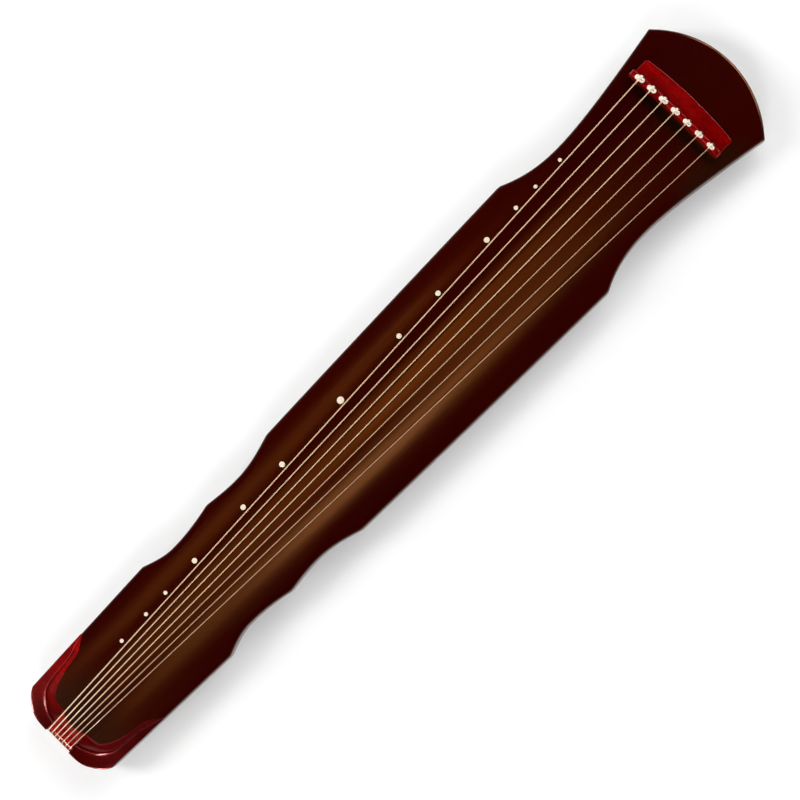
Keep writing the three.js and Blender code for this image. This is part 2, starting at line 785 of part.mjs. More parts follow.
function pegGeometry() {
  const profile = [
    [0, pegTop - pegBoreDepth],
    [pegBoreRadius, pegTop - pegBoreDepth],
    [pegBoreRadius, pegTop],
    [pegHeadRadius, pegTop],
    [pegHeadRadius, pegTop - pegHeadThickness],
    [pegNeckRadius, pegNeckTop],
    [pegNeckRadius, pegNeckBottom],
    [pegBodyRadius, pegNeckBottom - pegShoulder],
    [pegWaistRadius, pegBottom + pegWaistHeight],
    [pegFootRadius, pegBottom + pegFootHeight],
    [pegTipRadius, pegBottom],
    [0, pegBottom],
  ].map(([radius, z]) => new THREE.Vector2(radius, z));
  const turned = facingOut(bare(new THREE.LatheGeometry(profile, pegSides).rotateX(Math.PI / 2)));
  const holeReach = pegNeckRadius + overrun;
  const radius = cordDiameter / 2 + seatGap;
  const sideHole = new THREE.CylinderGeometry(radius, radius, holeReach, windingHoleSides);
  sideHole.rotateZ(Math.PI / 2).translate(holeReach / 2, 0, windingTop);
  return cut(turned, [sideHole]);
}

// Free end of a tuning cord: out of the peg's side hole and wound on its neck
const windingTurns = 2.5;
const windingSteps = 11;

function windingPoints() {
  const radius = (pegNeckRadius + seatGap + cordDiameter / 2) / Math.cos(Math.PI / windingSteps);
  const pitch = cordDiameter + turnGap;
  const inner = (pegBoreRadius + pegNeckRadius) / 2;
  const count = Math.round(windingTurns * windingSteps);
  const turns = Array.from({ length: count + 1 }, (_, k) => {
    const angle = (k / windingSteps) * Math.PI * 2;
    const z = windingTop - (pitch * k) / windingSteps;
    return new THREE.Vector3(radius * Math.cos(angle), radius * Math.sin(angle), z);
  });
  return [new THREE.Vector3(inner, 0, windingTop), ...turns];
}

// Strings: knot on the bridge, over the nut, down the tail, along the underside and round a foot
const farFootStrings = 4;
const footTurnSteps = 12;
const knotSpans = { first: 14.4, last: 11.4 };
const knotDepths = { first: 4.2, last: 3.2 };
const knotSetback = 4.2;
const neckLength = 3;

// The bow of a string's end knot, seen from above: shares of its half span and half depth, and of one level up
const knotShares = [
  [0, -0.3, 0], [0.32, 0.9, 0], [0.8, 0.85, 0.3], [1, 0, 0.55], [0.76, -0.8, 0.8], [0.34, -0.6, 1], [0, 0, 1],
  [-0.36, 0.75, 1], [-0.8, 0.85, 0.8], [-1, 0, 0.5], [-0.76, -0.85, 0.2], [-0.4, -0.5, 0.1],
];

function knotFrame(index) {
  const share = index / (stringCount - 1);
  const radius = stringDiameters[index] / 2;
  const between = ({ first, last }) => first + (last - first) * share;
  return {
    x: bridgeX + knotSetback,
    y: stringY(index, bridgeSpacing),
    halfSpan: between(knotSpans) / 2 - radius,
    halfDepth: between(knotDepths) / 2,
    level: 2 * radius + turnGap,
    radius,
  };
}

function knotPoints(index) {
  const { x, y, radius, halfSpan, halfDepth, level } = knotFrame(index);
  return knotShares.map(([across, along, up]) => {
    const pointY = y + across * halfSpan;
    const z = bridgeTopHeight(pointY) + seatGap + radius + up * level;
    return new THREE.Vector3(x + along * halfDepth, pointY, z);
  });
}

// As many half turns round the far foot as its waist holds, with a turn's room between strings
const farFootPitches = stringDiameters.slice(0, farFootStrings).reduce((sum, diameter) => sum + diameter + turnGap, 0);
const footTurns = Math.floor(2 * ((footWaistHigh - footWaistLow - seatGap) / farFootPitches - 1)) / 2;

// Height at which a string starts its winding on a foot, below the windings of the strings before it
function windingStart(index) {
  const onFar = index < farFootStrings;
  const before = stringDiameters.filter((_, other) => {
    return onFar ? other < index : other > index;
  });
  const taken = before.reduce((sum, diameter) => sum + (footTurns + 1) * (diameter + turnGap), 0);
  return footWaistHigh - seatGap - taken - stringDiameters[index] / 2;
}

function footWindingPoints(index) {
  const side = index < farFootStrings ? 1 : -1;
  const diameter = stringDiameters[index];
  const radius = (footWaistRadius + seatGap + diameter / 2) / Math.cos(Math.PI / footTurnSteps);
  const start = new THREE.Vector2(slotFaceX + lowerNutRadius, side * stringY(index, nutSpacing));
  const toFoot = new THREE.Vector2(footX, footSpread / 2).sub(start);
  const heading = toFoot.angle() - Math.asin(radius / toFoot.length());
  const height = windingStart(index);
  const count = Math.round(footTurns * footTurnSteps);
  return Array.from({ length: count + 1 }, (_, k) => {
    const turned = k / footTurnSteps;
    const angle = heading - Math.PI / 2 + turned * Math.PI * 2;
    const y = footSpread / 2 + radius * Math.sin(angle);
    return new THREE.Vector3(footX + radius * Math.cos(angle), side * y, height - turned * (diameter + turnGap));
  });
}

function stringPoints(index) {
  const radius = stringDiameters[index] / 2;
  const clear = seatGap + radius;
  const nutY = stringY(index, nutSpacing);
  const under = bendPoints(
    slotFaceX + lowerNutRadius, lowerNutBottom + lowerNutRadius, lowerNutRadius + clear,
    Math.PI * 1.5, Math.PI, nutY,
  );
  const over = bendPoints(
    nutCrestX, nutTopHeight(nutY) - nutRadius, nutRadius + clear,
    Math.PI, Math.PI / 2, nutY,
  );
  const knot = knotPoints(index);
  const neck = knot[0].clone();
  neck.x -= neckLength;
  return [...footWindingPoints(index).reverse(), ...under, ...over, neck, ...knot];
}

// Tuning cord: a loop over the knot, both legs going down the hole into the peg
const cordEndHeight = pegTop - pegBoreDepth + seatGap + cordDiameter;
const cordRiseShares = { back: 0.45, shoulder: 0.5 };
const loopSteps = 4;

function tuningCordPoints(index) {
  const { x, y, radius, halfDepth, level } = knotFrame(index);
  const clear = seatGap + cordDiameter / 2;
  const bridgeTop = bridgeTopHeight(y);
  const dewTop = surfaceHeight(holeX, y) + dewHeight;
  const overKnot = bridgeTop + seatGap + 2 * radius + level + clear;
  const overNeck = bridgeTop + seatGap + 2 * radius + clear;
  const frontX = x - halfDepth - clear;
  const leg = [
    [holeX, cordEndHeight],
    [holeX, dewTop + cordDiameter],
    [bridgeBackX + clear * 2, dewTop + (bridgeTop - dewTop) * (1 - cordRiseShares.back * cordRiseShares.shoulder)],
    [bridgeBackX + clear, bridgeTop + clear],
    [x + halfDepth, overKnot],
    [x - halfDepth * cordRiseShares.shoulder, overKnot],
    [frontX, overNeck + (overKnot - overNeck) * cordRiseShares.shoulder],
  ];
  const tilted = (px, across, pz) => {
    const lift = pz > dewTop + cordDiameter ? bridgeTopHeight(y + across) - bridgeTop : 0;
    return new THREE.Vector3(px, y + across, pz + lift);
  };
  const loop = Array.from({ length: loopSteps + 1 }, (_, k) => {
    const angle = (k / loopSteps) * Math.PI;
    const loopX = frontX - cordLegOffset * (1 + Math.sin(angle));
    return tilted(loopX, cordLegOffset * Math.cos(angle), overNeck);
  });
  const near = leg.map(([px, pz]) => tilted(px, cordLegOffset, pz));
  const far = leg.map(([px, pz]) => tilted(px, -cordLegOffset, pz)).reverse();
  return [...near, ...loop, ...far];
}

// Peg guards: curved hardwood plates at both ends of the peg pool, which carry the head
const guardTopLength = 64;
const guardFootLength = 46;
const guardThickness = 12;
const guardSetback = 6.1;
const guardRound = 3;
const guardWaistShares = { run: 0.35, drop: 0.6 };
const guardSegments = 4;

function pegGuardGeometry() {
  const top = guardTopLength / 2;
  const foot = guardFootLength / 2;
  const lean = (top - foot) * guardWaistShares.run;
  const drop = feetHeight * guardWaistShares.drop;
  const shape = new THREE.Shape();
  shape.moveTo(-top, feetHeight);
  shape.bezierCurveTo(-top + lean, drop, -foot - lean, drop, -foot, guardRound);
  shape.lineTo(guardRound - foot, 0);
  shape.lineTo(foot - guardRound, 0);
  shape.lineTo(foot, guardRound);
  shape.bezierCurveTo(foot + lean, drop, top - lean, drop, top, feetHeight);
  return acrossBody(shape, guardThickness, guardSegments);
}

// Soundposts between the bottom board and the roof
const roundPost = { alongShare: 0.714, radius: 9 };
const squarePost = { alongShare: 0.418, width: 18 };
const postSides = 16;

// The middle facet of the cavity's roof, which is flat across and holds the posts
function postTop(x) {
  const facet = (halfWidthAt(x) - wallThickness) / cavityDivisions;
  return surfaceHeight(x, facet) - roofThickness - seatGap;
}

function roundPostGeometry() {
  const x = alongX(roundPost.alongShare);
  const top = postTop(x);
  return uprightRod(roundPost.radius, seamHeight, top, postSides).translate(x, 0, 0);
}

function squarePostGeometry() {
  const x = alongX(squarePost.alongShare);
  const half = squarePost.width / 2;
  const top = postTop(x);
  return blockBetween(new THREE.Vector3(x - half, -half, seamHeight), new THREE.Vector3(x + half, half, top));
}

// Finishes
const finishes = {
  lacquer: { color: 0x34060a, roughness: 0.22, metalness: 0 },
  redwood: { color: 0x9e0a10, roughness: 0.28, metalness: 0 },
  darkwood: { color: 0x4a1010, roughness: 0.35, metalness: 0 },
  spruce: { color: 0xc8a878, roughness: 0.8, metalness: 0 },
  shell: { color: 0xf6efe0, roughness: 0.3, metalness: 0 },
  silk: { color: 0xf7e6c8, roughness: 0.55, metalness: 0 },
  tuningSilk: { color: 0x54301a, roughness: 0.8, metalness: 0 },
};

const guqin = new THREE.Group();

function addPiece(parent, name, geometry, finish) {
  const mesh = new THREE.Mesh(geometry, new THREE.MeshStandardMaterial(finishes[finish]));
  mesh.name = name;
  parent.add(mesh);
  return mesh;
}

addPiece(guqin, 'top_board', topBoardGeometry(), 'lacquer');
addPiece(guqin, 'bottom_board', bottomBoardGeometry(), 'lacquer');
addPiece(guqin, 'bridge', bridgeGeometry(), 'redwood');
addPiece(guqin, 'dew_collector', dewCollectorGeometry(), 'redwood');
addPiece(guqin, 'peg_plate', pegPlateGeometry(), 'darkwood');
addPiece(guqin, 'tail_nut', nutGeometry(0), 'redwood');
addPiece(guqin, 'lower_nut', lowerNutGeometry(), 'redwood');
addPiece(guqin, 'tail_crown_far', crownGeometry(1, 0), 'redwood');
addPiece(guqin, 'tail_crown_near', crownGeometry(-1, 0), 'redwood');
addPiece(guqin, 'round_soundpost', roundPostGeometry(), 'spruce');
addPiece(guqin, 'square_soundpost', squarePostGeometry(), 'spruce');

markerShares.forEach((_, index) => {
  addPiece(guqin, `marker_${index + 1}`, markerGeometry(index, 0), 'shell');
});

[['far', 1], ['near', -1]].forEach(([name, side]) => {
  const foot = addPiece(guqin, `goose_foot_${name}`, gooseFootGeometry(), 'darkwood');
  foot.position.set(footX, (side * footSpread) / 2, 0);
  const slope = Math.atan2(
    halfWidthAt(holeX + guardFootLength / 2) - halfWidthAt(holeX - guardFootLength / 2), guardFootLength,
  );
  const guard = addPiece(guqin, `peg_guard_${name}`, pegGuardGeometry(), 'darkwood');
  guard.position.set(holeX, side * (poolLength / 2 + guardSetback + guardThickness / 2), 0);
  guard.rotation.z = side * slope;
});

stringDiameters.forEach((diameter, index) => {
  const number = index + 1;
  addPiece(guqin, `string_${number}`, tube(stringPoints(index), diameter), 'silk');
  addPiece(guqin, `tuning_cord_${number}`, tube(tuningCordPoints(index), cordDiameter), 'tuningSilk');
  const turning = new THREE.Group();
  turning.position.set(holeX, stringY(index, bridgeSpacing), 0);
  guqin.add(turning);
  addPiece(turning, `tuning_peg_${number}`, pegGeometry(), 'darkwood');
  addPiece(turning, `cord_winding_${number}`, tube(windingPoints(), cordDiameter), 'tuningSilk');
  printLeastGap(`string_${number} on its foot`, footWindingPoints(index), diameter);
  printLeastGap(`string_${number} in its knot`, stringPoints(index).slice(-knotShares.length - 1), diameter);
  printLeastGap(`tuning_cord_${number}`, tuningCordPoints(index), cordDiameter);
});
printLeastGap('each cord winding', windingPoints(), cordDiameter);

export default guqin;
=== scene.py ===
import math

import bpy
import numpy as np
from mathutils import Matrix, Vector


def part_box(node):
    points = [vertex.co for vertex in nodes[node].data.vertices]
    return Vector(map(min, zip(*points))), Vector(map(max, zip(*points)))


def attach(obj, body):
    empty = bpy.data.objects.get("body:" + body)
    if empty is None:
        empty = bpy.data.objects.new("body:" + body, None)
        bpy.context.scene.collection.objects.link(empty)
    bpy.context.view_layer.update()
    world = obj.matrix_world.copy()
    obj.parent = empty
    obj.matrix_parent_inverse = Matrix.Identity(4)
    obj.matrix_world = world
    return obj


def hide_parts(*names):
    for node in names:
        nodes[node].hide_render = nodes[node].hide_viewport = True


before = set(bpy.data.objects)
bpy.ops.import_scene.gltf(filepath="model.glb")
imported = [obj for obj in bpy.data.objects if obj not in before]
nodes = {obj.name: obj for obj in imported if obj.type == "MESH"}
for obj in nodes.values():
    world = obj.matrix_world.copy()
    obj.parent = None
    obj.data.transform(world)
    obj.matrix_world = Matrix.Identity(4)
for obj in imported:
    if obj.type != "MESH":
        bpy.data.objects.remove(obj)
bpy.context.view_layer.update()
bpy.context.scene.view_settings.view_transform = "Standard"
mm = 0.001
print("frame: loaded", len(nodes), "pieces")

# Small helpers for selecting, shaping and finishing a piece

def inMm(corners):
    # the two corners of a box, in mm
    return [np.array(corner) / mm for corner in corners]


def middleOf(corners):
    return sum(inMm(corners)) / 2


def selectOnly(piece):
    bpy.ops.object.select_all(action="DESELECT")
    piece.select_set(True)
    bpy.context.view_layer.objects.active = piece


def addShape(addPrimitive, **settings):
    bpy.ops.object.select_all(action="DESELECT")
    addPrimitive(**settings)
    return bpy.context.object


def editAll(piece, mode="EDGE"):
    selectOnly(piece)
    bpy.ops.object.mode_set(mode="EDIT")
    bpy.ops.mesh.select_mode(type=mode)
    bpy.ops.mesh.select_all(action="SELECT")


def turnFacesOut():
    # the last step of an edit
    bpy.ops.mesh.select_all(action="SELECT")
    bpy.ops.mesh.normals_make_consistent(inside=False)
    bpy.ops.object.mode_set(mode="OBJECT")


def pointsOf(piece):
    points = np.empty(len(piece.data.vertices) * 3)
    piece.data.vertices.foreach_get("co", points)
    return points.reshape(-1, 3)


def movePoints(piece, points):
    piece.data.vertices.foreach_set("co", np.ascontiguousarray(points, dtype=float).ravel())
    piece.data.update()


def layGrid(name, rows):
    # a grid primitive whose points are moved onto the given rows of points, in mm
    rows = np.asarray(rows, dtype=float)
    down, across = rows.shape[:2]
    piece = addShape(bpy.ops.mesh.primitive_grid_add, x_subdivisions=across - 1,
                     y_subdivisions=down - 1, size=1)
    piece.name = name
    movePoints(piece, rows.reshape(-1, 3) * mm)
    return piece


def mergePoints(piece, distance=0.01):
    editAll(piece)
    bpy.ops.mesh.remove_doubles(threshold=distance * mm)
    turnFacesOut()


def closeTo(piece, floor):
    # the open rim is drawn to a height in mm, a number or a function of x and y, and filled
    editAll(piece)
    bpy.ops.mesh.select_all(action="DESELECT")
    bpy.ops.mesh.select_non_manifold(extend=False)
    bpy.ops.mesh.extrude_region_move()
    bpy.ops.object.mode_set(mode="OBJECT")
    chosen = np.array([vertex.select for vertex in piece.data.vertices])
    points = pointsOf(piece)
    rim = points[chosen]
    rim[:, 2] = (floor(rim[:, 0] / mm, rim[:, 1] / mm) if callable(floor) else floor) * mm
    points[chosen] = rim
    movePoints(piece, points)
    selectOnly(piece)
    bpy.ops.object.mode_set(mode="EDIT")
    bpy.ops.mesh.edge_face_add()
    turnFacesOut()


def applyModifier(piece, kind, **settings):
    selectOnly(piece)
    modifier = piece.modifiers.new(kind.title(), kind)
    for name, value in settings.items():
        setattr(modifier, name, value)
    bpy.ops.object.modifier_apply(modifier=modifier.name)


def cutWith(piece, cutters):
    for cutter in cutters:
        applyModifier(piece, "BOOLEAN", operation="DIFFERENCE", solver="EXACT", object=cutter,
                      material_mode="TRANSFER")
        bpy.data.objects.remove(cutter)


def joinPieces(name, pieces):
    selectOnly(pieces[0])
    for piece in pieces[1:]:
        piece.select_set(True)
    bpy.ops.object.join()
    pieces[0].name = name
    return pieces[0]


def finishPiece(piece, body, material, replaced, angle=35):
    # a piece without a material to give has its own already
    selectOnly(piece)
    bpy.ops.object.transform_apply(location=True, rotation=True, scale=True)
    bpy.ops.object.shade_smooth_by_angle(angle=math.radians(angle))
    if material:
        piece.data.materials.clear()
        piece.data.materials.append(material)
    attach(piece, body)
    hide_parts(*replaced)


# Materials

def linear(hexText):
    # an sRGB hex colour as the linear numbers that the shader wants
    channels = [int(hexText[i:i + 2], 16) / 255 for i in (1, 3, 5)]
    return [c / 12.92 if c <= 0.04045 else ((c + 0.055) / 1.055) ** 2.4 for c in channels] + [1.0]

def feedNode(tree, node, values):
    # a socket is linked, any other value is set on the input of that name or on the node
    for name, value in values.items():
        if isinstance(value, bpy.types.NodeSocket):
            tree.links.new(value, node.inputs[name])
        elif name == "stops":
            elements = node.color_ramp.elements
            while len(elements) < len(value):
                elements.new(0.5)
            for element, (place, colour) in zip(elements, value):
                element.position = place
                element.color = linear(colour)
        elif isinstance(name, int) or name in node.inputs:
            node.inputs[name].default_value = value
        else:
            setattr(node, name, value)


def addNode(tree, kind, values=None, out=0):
    # a node with its settings and links, given as one of its outputs
    node = tree.nodes.new(kind)
    feedNode(tree, node, values or {})
    return node.outputs[out]


def newMaterial(name):
    material = bpy.data.materials.new(name)
    material.use_nodes = True
    tree = material.node_tree
    return material, tree, tree.nodes["Principled BSDF"]


def drawnNoise(tree, place, stretch, spacing, detail, roughness=0.55):
    # noise with its patches that many mm apart, and finer along the axes with a higher stretch
    drawn = addNode(tree, "ShaderNodeMapping", {"Scale": stretch, "Vector": place})
    return addNode(tree, "ShaderNodeTexNoise", {"Scale": 1000 / spacing, "Detail": detail,
                                                "Roughness": roughness, "Vector": drawn}, "Fac")


lacquer = {
    "base": "#260001",          # raw lacquer over a red ground, almost black
    "warm": "#300200",          # where the coats are thinner
    "warmSpan": (0.36, 0.66),
    "sheenTint": "#e08a3c",     # deep lacquer gives its reflections an amber tone
    "sheenLevel": 0.42,
    "roughness": (0.12, 0.24),
    "cloud": ((1.6, 9, 9), 1000, 5),        # stretch, mm between, detail
    "streak": ((4, 160, 160), 1000, 3),
    "bumps": [                  # polishing strokes, drawn coarse enough to show, and the waves left by hand
        ((0.03, 1, 1), 1.1, 0.03), ((0.5, 1, 1), 7.0, 0.1),     # stretch, mm between, strength
    ],
    "bumpDepth": 0.0004,
    "dullPatchesAndPaintedShadow": [            # middle and reach in mm: where the polish was not rubbed up, and one painted shadow at the bridge's foot
        {"middle": (-604, 0, 70), "reach": (104, 88, 60), "colour": "#120503", "amount": 0.8},
        {"middle": (494, -86, 62), "reach": (80, 30, 40), "colour": "#240d04", "amount": 0.8},
        # painted shadow: the dark strip that the bridge casts on the lacquer at its tail side
        {"middle": (510, 0, 78), "reach": (17, 110, 40), "colour": "#0a0301", "amount": 0.9},
    ],
    "patchRag": 0.25,           # how much the streaks fray a patch's edge
    "patchFade": (0.1, 0.75),
    "dullRoughness": 0.3,
    "dullSheen": 0.2,
}


def makeLacquer():
    # many coats of raw tree lacquer, rubbed down and polished along the grain: deep, dark, soft gloss
    material, tree, shader = newMaterial("rubbedRawLacquer")
    place = addNode(tree, "ShaderNodeTexCoord", out="Object")
    cloud, streak = [drawnNoise(tree, place, *lacquer[name]) for name in ("cloud", "streak")]
    colour = addNode(tree, "ShaderNodeValToRGB", {
        "Fac": cloud, "stops": list(zip(lacquer["warmSpan"], (lacquer["base"], lacquer["warm"])))})
    low, high = lacquer["roughness"]
    roughness = addNode(tree, "ShaderNodeMapRange", {"To Min": low, "To Max": high, "Value": streak})
    sheen = lacquer["sheenLevel"]
    least, most = lacquer["patchFade"]
    # each patch mixes in its colour, roughness and sheen; the patch at the bridge's foot is a painted shadow
    for patch in lacquer["dullPatchesAndPaintedShadow"]:
        local = addNode(tree, "ShaderNodeMapping", {
            "vector_type": "TEXTURE", "Location": [v * mm for v in patch["middle"]],
            "Scale": [v * mm for v in patch["reach"]], "Vector": place})
        ball = addNode(tree, "ShaderNodeTexGradient", {"gradient_type": "SPHERICAL", "Vector": local},
                       "Fac")
        ragged = addNode(tree, "ShaderNodeMath", {
            "operation": "MULTIPLY_ADD", 0: streak, 1: lacquer["patchRag"], 2: ball})
        share = addNode(tree, "ShaderNodeMapRange", {
            "interpolation_type": "SMOOTHSTEP", "From Min": least, "From Max": most,
            "To Max": patch["amount"], "Value": ragged})
        colour = addNode(tree, "ShaderNodeMix", {
            "data_type": "RGBA", 0: share, 6: colour, 7: linear(patch["colour"])}, 2)
        roughness = addNode(tree, "ShaderNodeMix", {0: share, 2: roughness, 3: lacquer["dullRoughness"]})
        sheen = addNode(tree, "ShaderNodeMix", {0: share, 2: sheen, 3: lacquer["dullSheen"]})
    normal = {}
    for stretch, spacing, strength in lacquer["bumps"]:
        height = drawnNoise(tree, place, stretch, spacing, 2)
        normal = {"Normal": addNode(tree, "ShaderNodeBump", {
            "Strength": strength, "Distance": lacquer["bumpDepth"], "Height": height, **normal})}
    feedNode(tree, shader, {"Base Color": colour, "Roughness": roughness, "Specular IOR Level": sheen,
                            "Specular Tint": linear(lacquer["sheenTint"]), **normal})
    return material


redwood = {
    "colours": ("#6c0001", "#800001", "#940402"),
    "spread": (0.3, 0.5, 0.72),
    "glowTint": "#d8200c",      # the dyed oil finish mirrors red, the wax over it mirrors white
    "glow": 0.3,
    "waxRoughness": 0.07,
    "pores": 1.7,               # mm between vessel lines, twice the real ones so that they show
    "poreSpan": (0.36, 0.54),
    "poreShare": (0.55, 1.08),
    "poreRoughness": (0.14, -0.04),
    "poreBump": (0.12, 0.0003),
    "figure": 16.0,             # mm between broad bands of the figure
    "roughness": 0.24,
}


def makeRedwood(name, colours, roughness, grain=(0.06, 1, 1), coat=0.2, toneAndPaintedShade=None):
    # dense red hardwood, dyed, oiled and burnished along the grain: fine dark vessels in a clear red
    material, tree, shader = newMaterial(name)
    place = addNode(tree, "ShaderNodeTexCoord", out="Object")
    figure = drawnNoise(tree, place, grain, redwood["figure"], 4, 0.6)
    vessel = drawnNoise(tree, place, grain, redwood["pores"], 3, 0.6)
    colour = addNode(tree, "ShaderNodeValToRGB", {"Fac": figure,
                                                  "stops": list(zip(redwood["spread"], colours))})
    shades = [(vessel, "LINEAR", redwood["poreSpan"], redwood["poreShare"])]
    if toneAndPaintedShade:
        # painted shade and light across the crowns: darker towards the tail and the player, lighter towards
        # the far tip; also darker outside the ridge
        turned = addNode(tree, "ShaderNodeMapping", {"Rotation": (0, 0, -math.pi / 4), "Vector": place})
        uv = addNode(tree, "ShaderNodeUVMap", {"uv_map": "UVMap"})
        across, column = [addNode(tree, "ShaderNodeSeparateXYZ", {"Vector": v}) for v in (turned, uv)]
        shades.append((across, "SMOOTHSTEP", [v * mm for v in toneAndPaintedShade["span"]], toneAndPaintedShade["share"]))
        shades.append((column, "LINEAR", toneAndPaintedShade["outerColumns"], (toneAndPaintedShade["outer"], 1.0)))
    for value, kind, (start, end), (least, most) in shades:
        share = addNode(tree, "ShaderNodeMapRange", {
            "interpolation_type": kind, "From Min": start, "From Max": end,
            "To Min": least, "To Max": most, "Value": value})
        colour = addNode(tree, "ShaderNodeMix", {
            "data_type": "RGBA", "blend_type": "MULTIPLY", 0: 1.0, 6: colour, 7: share}, 2)
    rougher, smoother = redwood["poreRoughness"]
    rough = addNode(tree, "ShaderNodeMapRange", {
        "To Min": roughness + rougher, "To Max": roughness + smoother, "Value": vessel})
    strength, depth = redwood["poreBump"]
    bump = addNode(tree, "ShaderNodeBump", {"Strength": strength, "Distance": depth, "Height": vessel})
    feedNode(tree, shader, {"Base Color": colour, "Roughness": rough, "Normal": bump,
                            "Specular Tint": linear(redwood["glowTint"]),
                            "Specular IOR Level": redwood["glow"], "Coat Weight": coat,
                            "Coat Roughness": redwood["waxRoughness"]})
    return material


# planed paulownia inside the body: pale, straight-grained and quite dull
planedPaulownia = {
    "pattern": ((0.04, 1, 1), 3.846, 4, 0.6),   # growth rings: stretch, mm between, detail, roughness
    "stops": [(0.35, "#8f6b42"), (0.6, "#b9935f"), (0.75, "#caa871")],
    "roughness": (0.8, 0.8),
    "bump": (0.2, 0.0004),
    "coat": 0.0,
}
# mother-of-pearl ground flat: ivory with faint cloudy bands and a soft gloss
groundPearlShell = {
    "pattern": ((1, 1.6, 1), 2.381, 4, 0.6),
    "stops": [(0.3, "#dccdb2"), (0.5, "#eee0c8"), (0.7, "#f6ecd9")],
    "roughness": (0.2, 0.36),
    "bump": (0.0, 0.0004),
    "coat": 0.4,
}


def makePatterned(name, look):
    material, tree, shader = newMaterial(name)
    place = addNode(tree, "ShaderNodeTexCoord", out="Object")
    pattern = drawnNoise(tree, place, *look["pattern"])
    (low, high), (strength, depth) = look["roughness"], look["bump"]
    feedNode(tree, shader, {
        "Base Color": addNode(tree, "ShaderNodeValToRGB", {"Fac": pattern, "stops": look["stops"]}),
        "Roughness": addNode(tree, "ShaderNodeMapRange", {"To Min": low, "To Max": high, "Value": pattern}),
        "Normal": addNode(tree, "ShaderNodeBump", {"Strength": strength, "Distance": depth,
                                                   "Height": pattern}),
        "Coat Weight": look["coat"]})
    return material


def makeSilk(name, light, shade, winding, roughness, bumpDepth):
    # silk thread laid side by side and waxed: a wave along the string's own length, winding in mm; the
    # darker colour sits in the wave's grooves as painted shade between the turns
    material, tree, shader = newMaterial(name)
    uv = addNode(tree, "ShaderNodeUVMap", {"uv_map": "alongCord"})
    wave = addNode(tree, "ShaderNodeTexWave", {
        "bands_direction": "X", "Scale": math.pi * 100 / winding, "Distortion": 0.4, "Detail": 1.0,
        "Vector": uv}, "Fac")
    colour = addNode(tree, "ShaderNodeValToRGB", {"Fac": wave, "stops": [(0.1, shade), (0.75, light)]})
    bump = addNode(tree, "ShaderNodeBump", {"Strength": 0.5, "Distance": bumpDepth, "Height": wave})
    feedNode(tree, shader, {"Base Color": colour, "Roughness": roughness, "Sheen Weight": 0.15,
                            "Normal": bump})
    return material


lacquerSkin = makeLacquer()
fittingWood = makeRedwood("burnishedRedHardwood", redwood["colours"], redwood["roughness"])
crossWood = makeRedwood("burnishedRedHardwoodCross", redwood["colours"], redwood["roughness"],
                        grain=(1, 0.3, 1), coat=0.3)
turnedWood = makeRedwood("oiledDarkHardwood", ("#240505", "#3c0b09", "#54140e"), 0.34,
                         grain=(1, 1, 0.06), coat=0.15)
bareWood = makePatterned("planedPaulownia", planedPaulownia)
pearl = makePatterned("groundPearlShell", groundPearlShell)

woundSilk = makeSilk("woundStringSilk", "#ecc9a4", "#d6ae86", 0.5, 0.42, 0.00005)
plainSilk = makeSilk("plainTwistedSilk", "#d4ac88", "#bd916b", 0.7, 0.38, 0.00005)
knotSilk = makeSilk("knottedStringSilk", "#fff6e8", "#f0dcc2", 0.8, 0.55, 0.0001)
cordSilk = makeSilk("twistedBrownSilk", "#8a5230", "#4e2410", 0.45, 0.6, 0.00008)
print("materials: made", len(bpy.data.materials))


# The body's form: its outline, the arch of the lacquered surface and the edge that is rounded all round

bodyForm = {
    "surfaceShares": [          # share of the length, share of the thickness, share of the arch
        (0, 0.825, 0.85), (0.177, 0.899, 0.93), (0.339, 0.967, 1), (0.5, 0.994, 1),
        (0.661, 1, 1), (0.823, 0.971, 0.92), (0.914, 0.918, 0.8), (1, 0.757, 0.62),
    ],
    "thickness": 51.5,
    "archRise": 25.2,
    "headArcRise": 40.5,
    "tailFlat": 56.0,
    "edgeRound": 4.0,
    "undersideRound": 3.0,
    "tailEndShares": [          # along, out: two curves round the tail's end, from its flat to its corner
        (0, 0.38), (0.0016, 0.455), (0.0048, 0.51), (0.0083, 0.59), (0.0125, 0.662), (0.0205, 0.709),
    ],
    "sideShares": [             # the side from the tail's corner: a point, or two handles and a point
        [(0.1887, 0.782)],
        [(0.1911, 0.779)],
        [(0.2032, 0.726), (0.2145, 0.672), (0.229, 0.672)],
        [(0.2484, 0.672), (0.2661, 0.707), (0.2823, 0.749)],
        [(0.2855, 0.751)],
        [(0.2871, 0.749)],
        [(0.3016, 0.7245), (0.3129, 0.709), (0.325, 0.709)],
        [(0.3452, 0.709), (0.3613, 0.767), (0.379, 0.833)],
        [(0.3823, 0.84)],
        [(0.498, 0.883), (0.616, 0.92), (0.7355, 0.9476)],
        [(0.7395, 0.9438)],
        [(0.7581, 0.834), (0.7782, 0.757), (0.8089, 0.757)],
        [(0.8468, 0.757), (0.904, 0.8675), (0.9673, 1)],
    ],
    "curveSteps": 14,
    "longestStep": 6.0,
    "leastStep": 0.12,
    "endPoints": 61,
    "edgeColumns": [0, 0.3, 1.0, 2.2, 4.0],
    "topColumns": 26,
    "undersideColumns": 16,
    "tailBlend": 95.0,
    "headBlend": 160.0,
}
halfLength, halfWidth = inMm(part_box("top_board"))[1][:2]
bodyLength = 2 * halfLength
feetHeight, seamHeight = [corner[2] for corner in inMm(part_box("bottom_board"))]


def surfaceShare(column, along):
    # smooth curve through one column of the surface's shares
    table = np.array(bodyForm["surfaceShares"], dtype=float)
    places, values = table[:, 0], table[:, column]
    last = len(places) - 1
    right = np.clip(np.searchsorted(places, along, side="left"), 1, last)
    left = right - 1

    def slope(index):
        before, after = np.maximum(index - 1, 0), np.minimum(index + 1, last)
        return (values[after] - values[before]) / (places[after] - places[before])

    span = places[right] - places[left]
    t = np.clip((along - places[left]) / span, 0, 1)
    startWeight = (1 + 2 * t) * (1 - t) ** 2
    pull = t * (1 - t) ** 2 * span * slope(left) + t * t * (t - 1) * span * slope(right)
    return startWeight * values[left] + (1 - startWeight) * values[right] + pull


